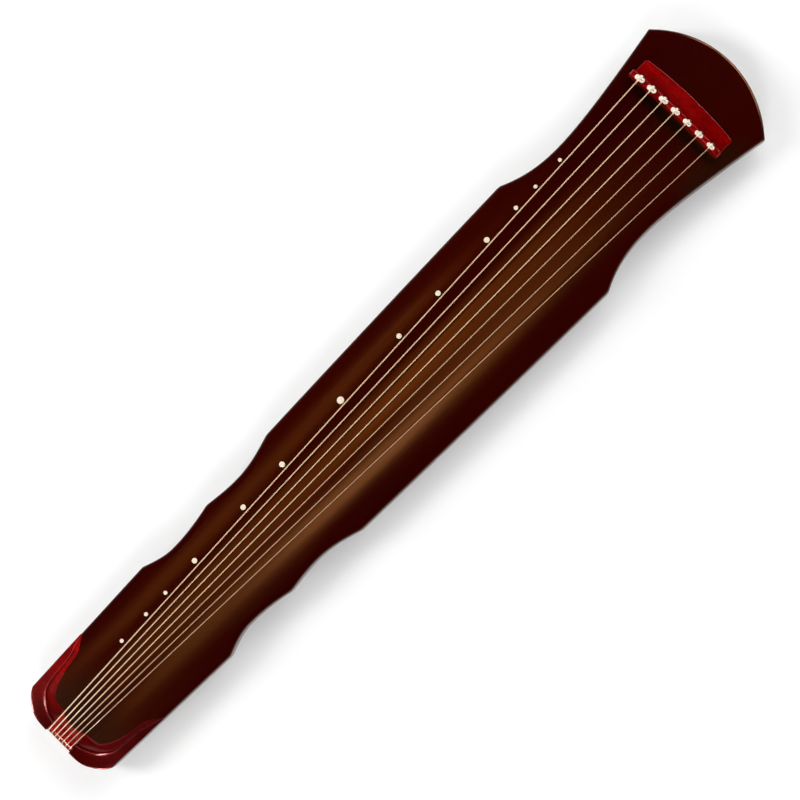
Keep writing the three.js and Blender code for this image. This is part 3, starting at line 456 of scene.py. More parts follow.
def surfaceHeight(x, y):
    along = (np.asarray(x, dtype=float) + halfLength) / bodyLength
    fall = bodyForm["archRise"] * surfaceShare(2, along) * (np.asarray(y, dtype=float) / halfWidth) ** 2
    return feetHeight + bodyForm["thickness"] * surfaceShare(1, along) - fall


def bezierPoints(handles, steps):
    t = np.linspace(0, 1, steps + 1)[1:, None]
    a, b, c, d = [np.array(handle, dtype=float) for handle in handles]
    return a * (1 - t) ** 3 + 3 * b * t * (1 - t) ** 2 + 3 * c * t * t * (1 - t) + d * t ** 3


def overSurface(rise):
    # a floor for closeTo that follows the lacquered surface
    return lambda x, y: surfaceHeight(x, y) + rise


def sideOutline():
    # places from the tail and half widths of the side, from the tail's corner to the head's, in mm
    points = [np.array(bodyForm["tailEndShares"][-1])]
    for part in bodyForm["sideShares"]:
        if len(part) == 3:
            points.extend(bezierPoints([points[-1], *part], bodyForm["curveSteps"]))
        else:
            points.append(np.array(part[0]))
    points.append(np.array([1 - bodyForm["headArcRise"] / bodyLength, 1]))
    points = np.array(points) * (bodyLength, halfWidth)
    offsets = np.array(bodyForm["edgeColumns"])
    ends = np.concatenate([points[0, 0] + offsets, points[-1, 0] - offsets])
    places = [points[0, 0]]
    for place in sorted(set(points[:, 0]) | set(ends)):
        start = places[-1]
        if place - start > bodyForm["leastStep"]:
            parts = math.ceil((place - start) / bodyForm["longestStep"])
            places.extend(np.linspace(start, place, parts + 1)[1:])
    places = np.array(places)
    return places, np.interp(places, points[:, 0], points[:, 1])


sidePlaces, sideWidths = sideOutline()


def tailEndPlace(y):
    # how far the end of the tail lies in from its tip, at a distance from the middle
    shares, steps = bodyForm["tailEndShares"], bodyForm["curveSteps"]
    start = (0, bodyForm["tailFlat"] / 2 / halfWidth)
    curve = [(0, 0), start, *bezierPoints([start, *shares[:3]], steps), *bezierPoints(shares[2:], steps)]
    curve = np.array(curve) * (bodyLength, halfWidth)
    return np.interp(np.abs(y), curve[:, 1], curve[:, 0])


def headEndPlace(y):
    rise = bodyForm["headArcRise"]
    radius = (halfWidth ** 2 + rise ** 2) / (2 * rise)
    return bodyLength - radius + np.sqrt(radius ** 2 - np.minimum(np.abs(y), halfWidth) ** 2)


def outlineLoop():
    ends = np.linspace(-1, 1, bodyForm["endPoints"])
    tailY = ends * sideWidths[0]
    headY = -ends * sideWidths[-1]
    return np.concatenate([
        np.stack([tailEndPlace(tailY), tailY], 1),
        np.stack([sidePlaces, sideWidths], 1)[1:],
        np.stack([headEndPlace(headY), headY], 1)[1:],
        np.stack([sidePlaces, -sideWidths], 1)[::-1][1:-1],
    ]) - (halfLength, 0)


def distanceToOutline(x, y):
    loop = outlineLoop()
    points = np.stack([x.ravel(), y.ravel()], 1)
    least = np.full(len(points), np.inf)
    for start, end in zip(loop, np.roll(loop, -1, 0)):
        along = end - start
        t = np.clip(((points - start) @ along) / max(along @ along, 1e-9), 0, 1)
        least = np.minimum(least, np.linalg.norm(points - start - t[:, None] * along, axis=1))
    return least.reshape(x.shape)


def roundDrop(distance, radius):
    # how far a rounded edge has fallen at a distance from the outline
    inside = radius - np.minimum(distance, radius)
    return radius - np.sqrt(np.maximum(radius ** 2 - inside ** 2, 0))


def planGrid(middleColumns):
    # points over the body's plan: rows bend to follow both ends, columns crowd at the edges
    offsets = np.array(bodyForm["edgeColumns"], dtype=float)
    rows = []
    for place, width in zip(sidePlaces, sideWidths):
        inner = width - offsets[-1]
        middle = np.linspace(-inner, inner, middleColumns + 1)[1:-1]
        y = np.concatenate([offsets - width, middle, (width - offsets)[::-1]])
        nearTail = 1 - smooth((place - sidePlaces[0]) / bodyForm["tailBlend"])
        nearHead = 1 - smooth((sidePlaces[-1] - place) / bodyForm["headBlend"])
        spread = y / width
        tailShift = tailEndPlace(spread * sideWidths[0]) - sidePlaces[0]
        headShift = headEndPlace(spread * sideWidths[-1]) - sidePlaces[-1]
        rows.append(np.stack([place + tailShift * nearTail + headShift * nearHead - halfLength, y], 1))
    return np.array(rows)


def smooth(t):
    t = np.clip(t, 0, 1)
    return t * t * (3 - 2 * t)


def halfWidthAt(x):
    return np.interp(np.asarray(x) + halfLength, sidePlaces, sideWidths)


# Cutters for the boards: prisms over an outline, and the slot for the nuts

def cutterPrism(outline, low, high, material=lacquerSkin):
    # a flat ring of points filled and stood up as a prism
    cutter = addShape(bpy.ops.mesh.primitive_circle_add, vertices=len(outline), radius=1,
                      fill_type="NGON")
    movePoints(cutter, np.array([(x, y, low) for x, y in outline]) * mm)
    editAll(cutter, "FACE")
    bpy.ops.mesh.extrude_region_move(TRANSFORM_OT_translate={"value": (0, 0, (high - low) * mm)})
    turnFacesOut()
    cutter.data.materials.append(material)
    return cutter


def arcPoints(x, y, radius, fromDegrees, toDegrees, steps):
    angles = np.radians(np.linspace(fromDegrees, toDegrees, steps + 1))
    return [(x + radius * math.cos(a), y + radius * math.sin(a)) for a in angles]


def slotOutline(x, length, width):
    reach = (length - width) / 2
    return (arcPoints(x + reach, 0, width / 2, -90, 90, 20)
            + arcPoints(x - reach, 0, width / 2, 90, 270, 20))


def roundedOutline(x, length, width, radius):
    reachX, reachY = length / 2 - radius, width / 2 - radius
    points = []
    for start, acrossX, acrossY in ((0, 1, 1), (90, -1, 1), (180, -1, -1), (270, 1, -1)):
        points += arcPoints(x + acrossX * reachX, acrossY * reachY, radius, start, start + 90, 8)
    return points


fittings = {
    "bridgeOverStrings": 15.2,  # how far the bridge reaches past the outer strings
    "bridgeHeight": 17.0,
    "dewHeight": 3.4,
    "holeSetback": 3.4,
    "holeRadius": 1.75,
    "seatGap": 0.3,
    "seatRise": 0.09,           # fittings on the lacquer stand this far off it
    "nutRadius": 9.0,
    "nutHeight": 3.5,
    "nutOuterString": 18.6,
    "slotDepth": 2.0,
    "lowerNutDepth": 18.0,
    "poolCorner": 6.0,
    "cutUnder": 20.0,           # heights where cutters end: under, inside and over the box
    "cutInside": 50.0,
    "cutOver": 100.0,
    "cutPast": 6.0,             # how far a cutter reaches past the face that it opens
    "holeStart": 2.0,
}
bridgeX = inMm(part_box("bridge"))[0][0]
bridgeBackX, bridgeHalf = inMm(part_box("bridge"))[1][:2]
holeX = bridgeBackX + fittings["holeSetback"]
nutCrestX = fittings["slotDepth"] + fittings["nutRadius"] - halfLength
plateLow, plateHigh = inMm(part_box("peg_plate"))
nutSeat, nutHalf = inMm(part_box("tail_nut"))[0][2], inMm(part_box("tail_nut"))[1][1]
lowerSlot = fittings["slotDepth"] + fittings["lowerNutDepth"] + fittings["seatGap"]
stringCount = 7
stringRows, nutRows = [[outer * (1 - 2 * index / (stringCount - 1)) for index in range(stringCount)]
                       for outer in (bridgeHalf - fittings["bridgeOverStrings"],
                                     fittings["nutOuterString"])]

soundHoles = [{"x": 95.48, "length": 210, "width": 26}, {"x": -400.52, "length": 110, "width": 24}]


def holeCutters(low, high):
    return [cutterPrism(arcPoints(holeX, y, fittings["holeRadius"], 0, 345, 23), low, high)
            for y in stringRows]

def tailSlotCutter(low, high, depth):
    reach = nutHalf + fittings["seatGap"]
    corners = np.array([(-halfLength - fittings["cutPast"], -reach, low),
                        (depth - halfLength, reach, high)]) * mm
    cutter = addShape(bpy.ops.mesh.primitive_cube_add, size=1, location=corners.mean(0).tolist())
    cutter.scale = (corners[1] - corners[0]).tolist()
    bpy.ops.object.transform_apply(location=True, rotation=True, scale=True)
    cutter.data.materials.append(lacquerSkin)
    return cutter


def poolCutter(low, high, gap=0):
    length, width = plateHigh[0] - plateLow[0] + 2 * gap, 2 * plateHigh[1] + 2 * gap
    return cutterPrism(roundedOutline(holeX, length, width, fittings["poolCorner"] + gap), low, high)


hollow = {
    "from": -551.8,
    "to": 448.9,
    "wall": 14.0,
    "roof": 11.0,
    "rows": 60,
    "columns": 17,
    "padDrop": 6.0,             # the roof hangs lower round the sound holes
    "padMargin": 18.0,
    "padTop": 90.0,
}


def hollowCutter():
    x = np.linspace(hollow["from"], hollow["to"], hollow["rows"])[:, None]
    y = (halfWidthAt(x) - hollow["wall"]) * np.linspace(-1, 1, hollow["columns"])
    x = np.broadcast_to(x, y.shape)
    cutter = layGrid("hollow", np.stack([x, y, surfaceHeight(x, y) - hollow["roof"]], -1))
    closeTo(cutter, seamHeight - fittings["cutPast"])
    cutter.data.materials.append(bareWood)
    pads = []
    for hole in soundHoles:
        low = surfaceHeight(hole["x"], 0) - hollow["roof"] - hollow["padDrop"]
        size = [hole[name] + 2 * hollow["padMargin"] for name in ("length", "width")]
        pads.append(cutterPrism(slotOutline(hole["x"], *size), low, hollow["padTop"], bareWood))
    cutWith(cutter, pads)
    return cutter


def layBoard(name, columns, heightOver):
    # a board over the body's plan, closed at the seam
    plan = planGrid(columns)
    x, y = plan[..., 0], plan[..., 1]
    board = layGrid(name, np.stack([x, y, heightOver(x, y)], -1))
    closeTo(board, seamHeight)
    board.data.materials.append(lacquerSkin)
    return board


def makeTopBoard():
    past, over, gap = fittings["cutPast"], fittings["cutOver"], fittings["seatGap"]
    board = layBoard("lacqueredTop", bodyForm["topColumns"], lambda x, y: (
        surfaceHeight(x, y) - roundDrop(distanceToOutline(x, y), bodyForm["edgeRound"])))
    cutWith(board, [hollowCutter(), tailSlotCutter(seamHeight - past, nutSeat, lowerSlot),
                    tailSlotCutter(nutSeat - past, over, fittings["slotDepth"]),
                    poolCutter(seamHeight - past, plateHigh[2] + gap, gap),
                    *holeCutters(plateHigh[2] - fittings["holeStart"], over)])
    finishPiece(board, "soundbox", None, ["top_board"], angle=40)


def makeBottomBoard():
    span = (fittings["cutUnder"], fittings["cutInside"])
    board = layBoard("lacqueredBottom", bodyForm["undersideColumns"], lambda x, y: (
        feetHeight + roundDrop(distanceToOutline(x, y), bodyForm["undersideRound"])))
    slots = [cutterPrism(slotOutline(hole["x"], hole["length"], hole["width"]), *span)
             for hole in soundHoles]
    cutWith(board, [*slots, poolCutter(*span), tailSlotCutter(*span, lowerSlot)])
    finishPiece(board, "soundbox", None, ["bottom_board"], angle=40)


makeTopBoard()
makeBottomBoard()
print("boards: lacquered top and bottom")


# Bridge and the strip behind it

def bridgeTop(y):
    return surfaceHeight(bridgeX, y) + fittings["bridgeHeight"]


def spacedAcross(half, corner, cornerSteps, step):
    inner = np.linspace(-(half - corner), half - corner, round(2 * (half - corner) / step) + 1)
    rim = half - corner * (1 - np.sin(np.linspace(0, math.pi / 2, cornerSteps + 1)))[1:]
    return np.concatenate([-rim[::-1], inner, rim])


bridgeBar = {
    "crestRound": 2.4,          # front edge that the strings bear on
    "backRound": 1.3,
    "endDrop": 2.6,             # the ends fall in a worn curve
    "endRun": 3.2,
    "lean": 0.5,                # the front face leans in a little towards its top
    "frontFalls": (9.0, 5.0),   # how far under the top the front face starts and leans
    "topFlat": (4.0, 3.0),      # where the flat of the top starts and ends
    "backFalls": (0.15, 0.25, 6.0),
    "step": 5.0,
}


def makeBridge():
    run, lean, crest, rear = [bridgeBar[name] for name in ("endRun", "lean", "crestRound", "backRound")]
    (deep, halfway), (front, back) = bridgeBar["frontFalls"], bridgeBar["topFlat"]
    flatFall, edgeFall, backFall = bridgeBar["backFalls"]
    rows = []
    for y in spacedAcross(bridgeHalf, run, 8, bridgeBar["step"]):
        past = max(abs(y) - (bridgeHalf - run), 0) / run
        top = bridgeTop(y) - bridgeBar["endDrop"] * (1 - math.sqrt(max(1 - past ** 2, 0)))
        profile = [(bridgeX, top - deep), (bridgeX + lean / 2, top - halfway),
                   *arcPoints(bridgeX + lean + crest, top - crest, crest, 180, 90, 8),
                   (bridgeX + front, top), (bridgeBackX - back, top - flatFall),
                   *arcPoints(bridgeBackX - rear, top - edgeFall - rear, rear, 90, 0, 8),
                   (bridgeBackX, top - backFall)]
        rows.append([(x, y, z) for x, z in profile])
    bar = layGrid("bridgeBar", rows)
    closeTo(bar, overSurface(fittings["seatRise"]))
    finishPiece(bar, "soundbox", crossWood, ["bridge"])


dewStrip = {"corner": 4.0, "bow": 3.0, "edge": 1.1, "step": 4.0, "cutFrom": 60.0}


def makeDewStrip():
    front, (back, half) = inMm(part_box("dew_collector"))[0][0], inMm(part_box("dew_collector"))[1][:2]
    corner, edge = dewStrip["corner"], dewStrip["edge"]
    y = spacedAcross(half, corner, 10, dewStrip["step"])[:, None]
    past = np.maximum(np.abs(y) - (half - corner), 0) / corner
    reach = (back - dewStrip["bow"] * (y / half) ** 2
             - corner * (1 - np.sqrt(np.maximum(1 - past ** 2, 0))))
    inner = front + (reach - 1.5 * edge - front) * np.linspace(0, 1, 6)
    x = np.concatenate([inner, reach - edge * np.array([1, 0.6, 0.3, 0.1, 0])], 1)
    y = np.broadcast_to(y, x.shape)
    fall = roundDrop(np.minimum(reach - x, half - np.abs(y)), edge)
    height = surfaceHeight(x, y) + fittings["dewHeight"] - fall
    strip = layGrid("dewStrip", np.stack([x, y, height], -1))
    closeTo(strip, overSurface(fittings["seatRise"]))
    cutWith(strip, holeCutters(dewStrip["cutFrom"], fittings["cutOver"]))
    finishPiece(strip, "soundbox", crossWood, ["dew_collector"])



makeBridge()
makeDewStrip()
print("head: bridge and strip")

# Tail: crowns with their raised ridge, the nut and its lower half

crown = {
    "length": 118.0,
    "depth": 4.4,
    "tip": (1.2, 2.4),
    "rows": 150,
    "fade": (0.9, 0.55),         # from this share of the rows on, heights fade by this share
    "ridgeLineShares": [(0.125, 0.27), (0.142, 0.385), (0.17, 0.489), (0.212, 0.602), (0.267, 0.692),
                        (0.339, 0.766), (0.445, 0.811), (0.62, 0.832), (0.75, 0.855), (0.864, 0.906)],
    "innerLineShares": [(0.291, 0.27), (0.298, 0.4), (0.318, 0.528), (0.375, 0.611), (0.445, 0.667),
                        (0.534, 0.713), (0.627, 0.753), (0.72, 0.772), (0.797, 0.79), (0.87, 0.835)],
    "narrow": 7.0,              # where a zone is narrower than this, its profile is drawn in
    "outerProfile": [           # share of the way from the edge to the crest, mm past that, height in mm
        (0, 0, 1.2), (0, 0.2, 1.75), (0, 0.55, 2.15), (0, 1.1, 2.42), (0, 1.9, 2.5), (0.3, 0, 2.5),
        (0.52, 0, 2.5), (0.72, 0, 2.5), (1, -2.5, 2.5), (1, -1.95, 2.6),
        (1, -1.5, 2.85), (1, -1.1, 3.2), (1, -0.6, 3.58), (1, 0, 3.74),
    ],
    "innerProfile": [           # share of the way from the crest to the lacquer, mm past that, height in mm
        (0, 0.45, 3.62), (0, 0.85, 3.3), (0, 1.15, 2.8), (0, 1.4, 2.1), (0, 1.6, 1.4), (0, 1.85, 0.85),
        (0, 2.3, 0.53), (0, 3.1, 0.43), (0.62, 0, 0.4), (0.8, 0, 0.4), (1, -1.0, 0.38),
        (1, -0.4, 0.28), (1, 0, 0.1),
    ],
}


def travelAlong(points):
    # the way travelled to each point of a route
    return np.concatenate([[0], np.cumsum(np.linalg.norm(np.diff(points, axis=0), axis=1))])


def pointsAt(points, shares):
    # points at shares of the whole way along a route
    travelled = travelAlong(points)
    return np.stack([np.interp(shares * travelled[-1], travelled, line) for line in points.T], 1)


def splinePoints(points, shares):
    # points at shares of the way along a smooth curve through the given points
    points = np.array(points, dtype=float)
    padded = np.concatenate([points[:1], points, points[-1:]])
    t = np.linspace(0, 1, 13)[:-1, None]
    pieces = [0.5 * (2 * b + (c - a) * t + (2 * a - 5 * b + 4 * c - d) * t ** 2
                     + (3 * b - 3 * c + d - a) * t ** 3)
              for a, b, c, d in zip(padded, padded[1:], padded[2:], padded[3:])]
    return pointsAt(np.concatenate([*pieces, points[-1:]]), shares)


def crownLines():
    # the outer edge, the crest and the inner edge, row by row
    edge, length = nutHalf + fittings["seatGap"], crown["length"]
    half = halfWidthAt(length - halfLength)
    tailY = np.linspace(edge, sideWidths[0], 50)
    sides = sidePlaces[(sidePlaces > sidePlaces[0]) & (sidePlaces < length)]
    outer = np.concatenate([np.stack([tailEndPlace(tailY), tailY], 1),
                            np.stack([sides, np.interp(sides, sidePlaces, sideWidths)], 1),
                            [[length, half]]])
    shares = np.linspace(0, 1, crown["rows"])
    lines = [pointsAt(outer, shares)]
    for name, tip in zip(("ridgeLineShares", "innerLineShares"), crown["tip"]):
        points = [(along * length, out * half) for along, out in crown[name]]
        points = [(points[0][0], edge), *points[1:], (length, half - tip)]
        lines.append(splinePoints(points, shares))
    return [line - (halfLength, 0) for line in lines]


def makeCrown(name, side):
    outer, crest, inner = crownLines()
    fadeFrom, fadeBy = crown["fade"]
    fade = 1 - fadeBy * smooth((np.arange(len(outer)) / len(outer) - fadeFrom) / (1 - fadeFrom))
    columns = []
    for start, end, profile in ((outer, crest, crown["outerProfile"]),
                                (crest, inner, crown["innerProfile"])):
        reach = np.linalg.norm(end - start, axis=1)[:, None]
        heading = (end - start) / reach * np.minimum(reach / crown["narrow"], 1)
        for share, past, rise in profile:
            x, y = (start + (end - start) * share + heading * past).T
            columns.append(np.stack([x, y * side, surfaceHeight(x, y) + rise * fade], 1))
    piece = layGrid(f"crown{name}", np.stack(columns, 1))
    closeTo(piece, overSurface(-crown["depth"]))
    finishPiece(piece, "soundbox", crownWood, [f"tail_crown_{name.lower()}"], angle=60)



nut = {
    "backLength": 27.5,
    "backBow": 6.3,
    "rows": 33,
    "frontSteps": 10,
    "seat": 0.1,
    "backProfile": [            # share of the way from the crest to the back edge, height in mm
        (0.06, 3.45), (0.14, 3.2), (0.24, 2.7), (0.36, 1.95), (0.48, 1.25), (0.6, 0.75), (0.72, 0.48),
        (0.85, 0.4), (0.95, 0.38), (0.985, 0.28), (1, 0.1),
    ],
}


def makeNut():
    radius = fittings["nutRadius"]
    rows = []
    for y in np.linspace(-nutHalf, nutHalf, nut["rows"]):
        top = surfaceHeight(nutCrestX, y) + fittings["nutHeight"]
        back = nut["backLength"] + nut["backBow"] * (y / nutHalf) ** 2 - halfLength
        front = arcPoints(nutCrestX, top - radius, radius, 180, 90, nut["frontSteps"])
        row = [(x, y, z) for x, z in front]
        for share, rise in nut["backProfile"]:
            x = nutCrestX + (back - nutCrestX) * share
            row.append((x, y, surfaceHeight(x, y) + rise))
        rows.append(row)
    piece = layGrid("tailNutBlock", rows)
    closeTo(piece, nutSeat + nut["seat"])
    finishPiece(piece, "soundbox", fittingWood, ["tail_nut"], angle=50)


def prismAcross(name, profile, half, bevel):
    # a side profile in X and Z, given a width across the body and softened edges
    piece = cutterPrism(profile, -half, half, fittingWood)
    x, z, y = pointsOf(piece).T
    movePoints(piece, np.stack([x, -y, z], 1))
    piece.name = name
    editAll(piece, "FACE")
    turnFacesOut()
    applyModifier(piece, "BEVEL", width=bevel * mm, segments=3, limit_method="ANGLE",
                  angle_limit=math.radians(50))
    return piece


lowerNut = {"radius": 6.0, "edge": 0.7}


def makeLowerNut():
    (front, _, under), (back, half, over) = inMm(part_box("lower_nut"))
    radius = lowerNut["radius"]
    profile = arcPoints(front + radius, under + radius, radius, 180, 270, 14)
    profile += [(back, under), (back, over), (front, over)]
    piece = prismAcross("lowerNutBlock", profile, half, lowerNut["edge"])
    finishPiece(piece, "soundbox", fittingWood, ["lower_nut"])


# painted shade and light: the crowns darken towards the tail and the player and brighten towards the far
# tip; the outer zone is darker
crownToneAndPaintedShade = {"span": (-420, -290), "share": (0.5, 3.2), "outer": 0.62, "outerColumns": (0.46, 0.56)}
crownWood = makeRedwood("burnishedRedHardwoodFigured", ("#480001", "#600001", "#700102"), 0.24,
                        grain=(1, 0.22, 1), coat=0.14, toneAndPaintedShade=crownToneAndPaintedShade)
bothSides = (("Far", 1), ("Near", -1))
for name, side in bothSides:
    makeCrown(name, side)
makeNut()
makeLowerNut()
print("tail: crowns and nuts")


# Turned and shaped pieces of the underside

def latheRows(profile, turns, flutes=0, depth=0.0, span=(0, 0)):
    # a profile of radius and height turned round, with flutes cut between two heights
    profile = np.array(profile, dtype=float)
    angles = np.linspace(0, 2 * math.pi, turns + 1)
    radius, height = profile[:, :1], profile[:, 1:]
    within = (height > span[0]) & (height < span[1])
    radius = radius * (1 - within * depth * (1 - np.abs(np.cos(angles * flutes / 2))))
    return np.stack([radius * np.cos(angles), radius * np.sin(angles),
                     np.repeat(height, turns + 1, 1)], -1)


def turnPiece(name, rows):
    piece = layGrid(name, rows)
    mergePoints(piece)
    return piece


foot = {
    "turns": 64,
    "profile": [(0, 0), (9.8, 0), (10.5, 0.15), (10.8, 0.5), (12.2, 1.1), (12.9, 1.8), (13.0, 2.6),
                (13.0, 4.2),
                (12.7, 4.9), (11.6, 5.6), (9.6, 6.6), (8.2, 7.7), (7.7, 8.8), (7.6, 10.5), (7.6, 26.5),
                (7.75, 27.8), (8.6, 28.7), (9.9, 29.1), (10.4, 29.7), (10.4, 31.2), (10.2, 31.9), (9.6, 32),
                (0, 32)],
}
peg = {
    "turns": 48,
    "profile": [(0, 32.7), (1.9, 32.7), (1.9, 51.2), (2.3, 51.7), (6.5, 51.7), (7.0, 51.5), (7.2, 51.0),
                (7.2, 49.8), (7.0, 49.3), (6.4, 49.0), (5.2, 48.3), (4.5, 47.9), (4.4, 47.5), (4.4, 39.9),
                (4.55, 39.4), (5.6, 38.7), (6.2, 38.2), (6.3, 37.4), (6.2, 35.5), (5.7, 31.0), (4.9, 25.5),
                (4.3, 21.5), (4.2, 19.6), (4.4, 17.5), (5.0, 13.5), (5.7, 9.8), (6.0, 7.9), (5.9, 6.9),
                (5.3, 6.0), (4.5, 5.5), (3.9, 5.0), (3.6, 4.0), (3.4, 3.3), (3.0, 3.0), (0, 3.0)],
    "fluting": (8, 0.07, (8.2, 37.0)),  # flutes, their depth as a share of the radius, from and to
    "sideHole": (0.85, 46.5, 8.0),      # radius, height and how deep the drill goes
}


def makeFeet():
    for name, _ in bothSides:
        node = f"goose_foot_{name.lower()}"
        x, y, _ = middleOf(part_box(node))
        piece = turnPiece(f"gooseFoot{name}", latheRows(foot["profile"], foot["turns"]) + (x, y, 0))
        finishPiece(piece, "soundbox", turnedWood, [node], angle=50)


def makePegs():
    rows = latheRows(peg["profile"], peg["turns"], *peg["fluting"])
    first = turnPiece("peg1", rows + (holeX, stringRows[0], 0))
    radius, height, depth = peg["sideHole"]
    hole = addShape(bpy.ops.mesh.primitive_cylinder_add, vertices=20, radius=radius * mm,
                    depth=depth * mm, rotation=(0, math.pi / 2, 0),
                    location=((holeX + depth / 2) * mm, stringRows[0] * mm, height * mm))
    selectOnly(hole)
    bpy.ops.object.transform_apply(location=True, rotation=True, scale=True)
    for piece in (hole, first):
        piece.data.materials.append(turnedWood)
    cutWith(first, [hole])
    pegs = [first]
    for index in range(1, stringCount):
        piece = first.copy()
        piece.data = first.data.copy()
        piece.name = f"peg{index + 1}"
        bpy.context.scene.collection.objects.link(piece)
        movePoints(piece, pointsOf(piece) + (0, (stringRows[index] - stringRows[0]) * mm, 0))
        pegs.append(piece)
    for number, piece in enumerate(pegs, 1):
        finishPiece(piece, f"peg_{number}", turnedWood, [f"tuning_peg_{number}"], angle=40)


guard = {"top": 64.0, "foot": 46.0, "thickness": 12.0, "round": 3.0, "runShare": 0.35,
         "dropShare": 0.6, "edge": 1.4}



def makeGuards():
    top, base = guard["top"] / 2, guard["foot"] / 2
    lean = (top - base) * guard["runShare"]
    drop = feetHeight * guard["dropShare"]
    corner = guard["round"]
    side = [(-top, feetHeight), (lean - top, drop), (-base - lean, drop), (-base, corner)]
    left = [side[0], *bezierPoints(side, 16), *arcPoints(corner - base, corner, corner, 180, 270, 6)[1:]]
    profile = left + [(-x, z) for x, z in reversed(left)]
    slope = math.atan2(halfWidthAt(holeX + base) - halfWidthAt(holeX - base), guard["foot"])
    for name, side in bothSides:
        node = f"peg_guard_{name.lower()}"
        piece = prismAcross(f"pegGuard{name}", profile, guard["thickness"] / 2, guard["edge"])
        piece.rotation_euler.z = side * slope
        piece.location = (holeX * mm, middleOf(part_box(node))[1] * mm, 0)
        finishPiece(piece, "soundbox", turnedWood, [node])



makeFeet()
makePegs()
makeGuards()
print("underside: feet, pegs and guards")


# Markers: discs of shell, let in flush along the far side of the strings

marker = {
    "sides": 40,
    "edge": 0.25,
    "low": -1.5,
    "rim": [(0.05, 0.0), (0, -0.3)],                            # in from the radius, height
    "face": [(0, 0.27), (0.4, 0.252), (0.75, 0.204)],           # share of the radius, height
    "proud": 0.15,
}


def makeMarkers():
    for number in range(1, 14):
        node = f"marker_{number}"
        radius = (inMm(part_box(node))[1][0] - inMm(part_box(node))[0][0]) / 2
        profile = [(radius * share, height) for share, height in marker["face"]]
        profile.append((radius - marker["edge"], marker["proud"]))
        profile += [(radius - inward, height) for inward, height in marker["rim"]]
        profile += [(radius, marker["low"]), (0, marker["low"])]
        rows = latheRows(profile, marker["sides"]) + (*middleOf(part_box(node))[:2], 0)
        rows[..., 2] += surfaceHeight(rows[..., 0], rows[..., 1])
        finishPiece(turnPiece(f"shellMarker{number}", rows), "soundbox", pearl, [node], angle=50)



makeMarkers()
print("markers: thirteen discs")


# Strings, knots and tuning cords

def tubeRows(points, radii, sides):
    # rings of points round a route, carried along it without twisting, closed to a point at both ends
    points = np.asarray(points, dtype=float)
    ahead = np.gradient(points, axis=0)
    ahead /= np.linalg.norm(ahead, axis=1)[:, None]
    radii = np.broadcast_to(radii, len(points))
    side = np.cross(ahead[0], (0, 0, 1) if abs(ahead[0][2]) < 0.9 else (1, 0, 0))
    side /= np.linalg.norm(side)
    angles = np.linspace(0, 2 * math.pi, sides + 1)[:, None]
    rings = []
    for point, direction, radius in zip(points, ahead, radii):
        side = side - direction * (side @ direction)
        side /= np.linalg.norm(side)
        other = np.cross(direction, side)
        rings.append(point + radius * (np.cos(angles) * side + np.sin(angles) * other))
    start = np.repeat(points[:1], sides + 1, 0)
    end = np.repeat(points[-1:], sides + 1, 0)
    return np.concatenate([[start], rings, [end]])


def layTube(name, points, radii, sides):
    rows = tubeRows(points, radii, sides)
    piece = layGrid(name, rows)
    middle = rows.mean(1)
    travelled = travelAlong(middle) * mm
    count = sides + 1
    corners = np.empty(len(piece.data.loops), dtype=int)
    piece.data.loops.foreach_get("vertex_index", corners)
    uv = np.stack([travelled[corners // count], (corners % count) / sides * 0.01], 1)
    layer = piece.data.uv_layers[0]
    layer.name = "alongCord"
    layer.data.foreach_set("uv", uv.ravel())
    mergePoints(piece, 0.0005)
    return piece


def layTwist(name, points):
    # a tuning cord: two plies laid round each other along a route
    diameter, step, sides = tuningCord["diameter"], tuningCord["step"], tuningCord["guideSides"]
    points = pointsAt(points, np.linspace(0, 1, max(int(travelAlong(points)[-1] / step), 2)))
    ring = tubeRows(points, diameter * tuningCord["layShare"], sides)[1:-1, :-1]
    rows = np.arange(len(points))
    plies = []
    for ply in range(2):
        place = (rows * step / tuningCord["pitch"] + ply / 2) * sides
        lower = np.floor(place).astype(int)
        rest = (place - lower)[:, None]
        line = ring[rows, lower % sides] * (1 - rest) + ring[rows, (lower + 1) % sides] * rest
        plies.append(layTube(f"{name}Ply{ply}", line, diameter * tuningCord["plyShare"], 6))
    return joinPieces(name, plies)



stringSet = {
    "diameters": [1.6, 1.5, 1.4, 1.3, 1.2, 1.1, 1.0],
    "woundStrings": 4,          # the four thick strings have a silk wrapping, the thin ones are plain cord
    "farFootStrings": 4,
    "footTurns": 1.5,
    "footWaist": 7.6,
    "footWindingTop": 28.6,
    "footSpread": 104.0,
    "turnGap": 0.5,
    "lowerRadius": 6.0,
    "knotSetback": 4.2,
    "knotSpans": (14.4, 11.4),
    "strandShare": 0.2,         # the knot's strand against its span
    "knotPoints": 96,
    "sides": 12,
    "wrapShare": 0.46,
    "footClear": 0.15,
    "nutClear": 0.1,
    "knotRoute": [              # across, along and up in shares of half the span, one row per given point
        (0.0, -0.66, 0.0), (0.06, -0.42, 0.0), (0.32, -0.3, 0.04), (0.62, -0.34, 0.1), (0.82, -0.06, 0.1),
        (0.66, 0.22, 0.08), (0.38, 0.16, 0.06), (0.4, -0.08, 0.2), (0.58, -0.04, 0.34), (0.34, 0.02, 0.42),
        (0.04, -0.16, 0.38), (-0.3, -0.26, 0.26), (-0.62, -0.26, 0.12), (-0.83, 0.02, 0.08),
        (-0.66, 0.3, 0.1), (-0.36, 0.22, 0.18), (-0.04, 0.2, 0.2), (0.18, 0.42, 0.08),
        (0.04, 0.58, 0.0), (-0.14, 0.4, 0.06), (-0.04, 0.08, 0.16),
    ],
    "wrapRoute": [(0.12, -0.4, 0.12), (0.08, -0.22, 0.5), (0.0, 0.0, 0.62), (-0.06, 0.22, 0.46),
                  (-0.1, 0.38, 0.1)],
}



def bendRow(x, z, radius, fromDegrees, toDegrees, y, steps=12):
    return [(px, y, pz) for px, pz in arcPoints(x, z, radius, fromDegrees, toDegrees, steps)]


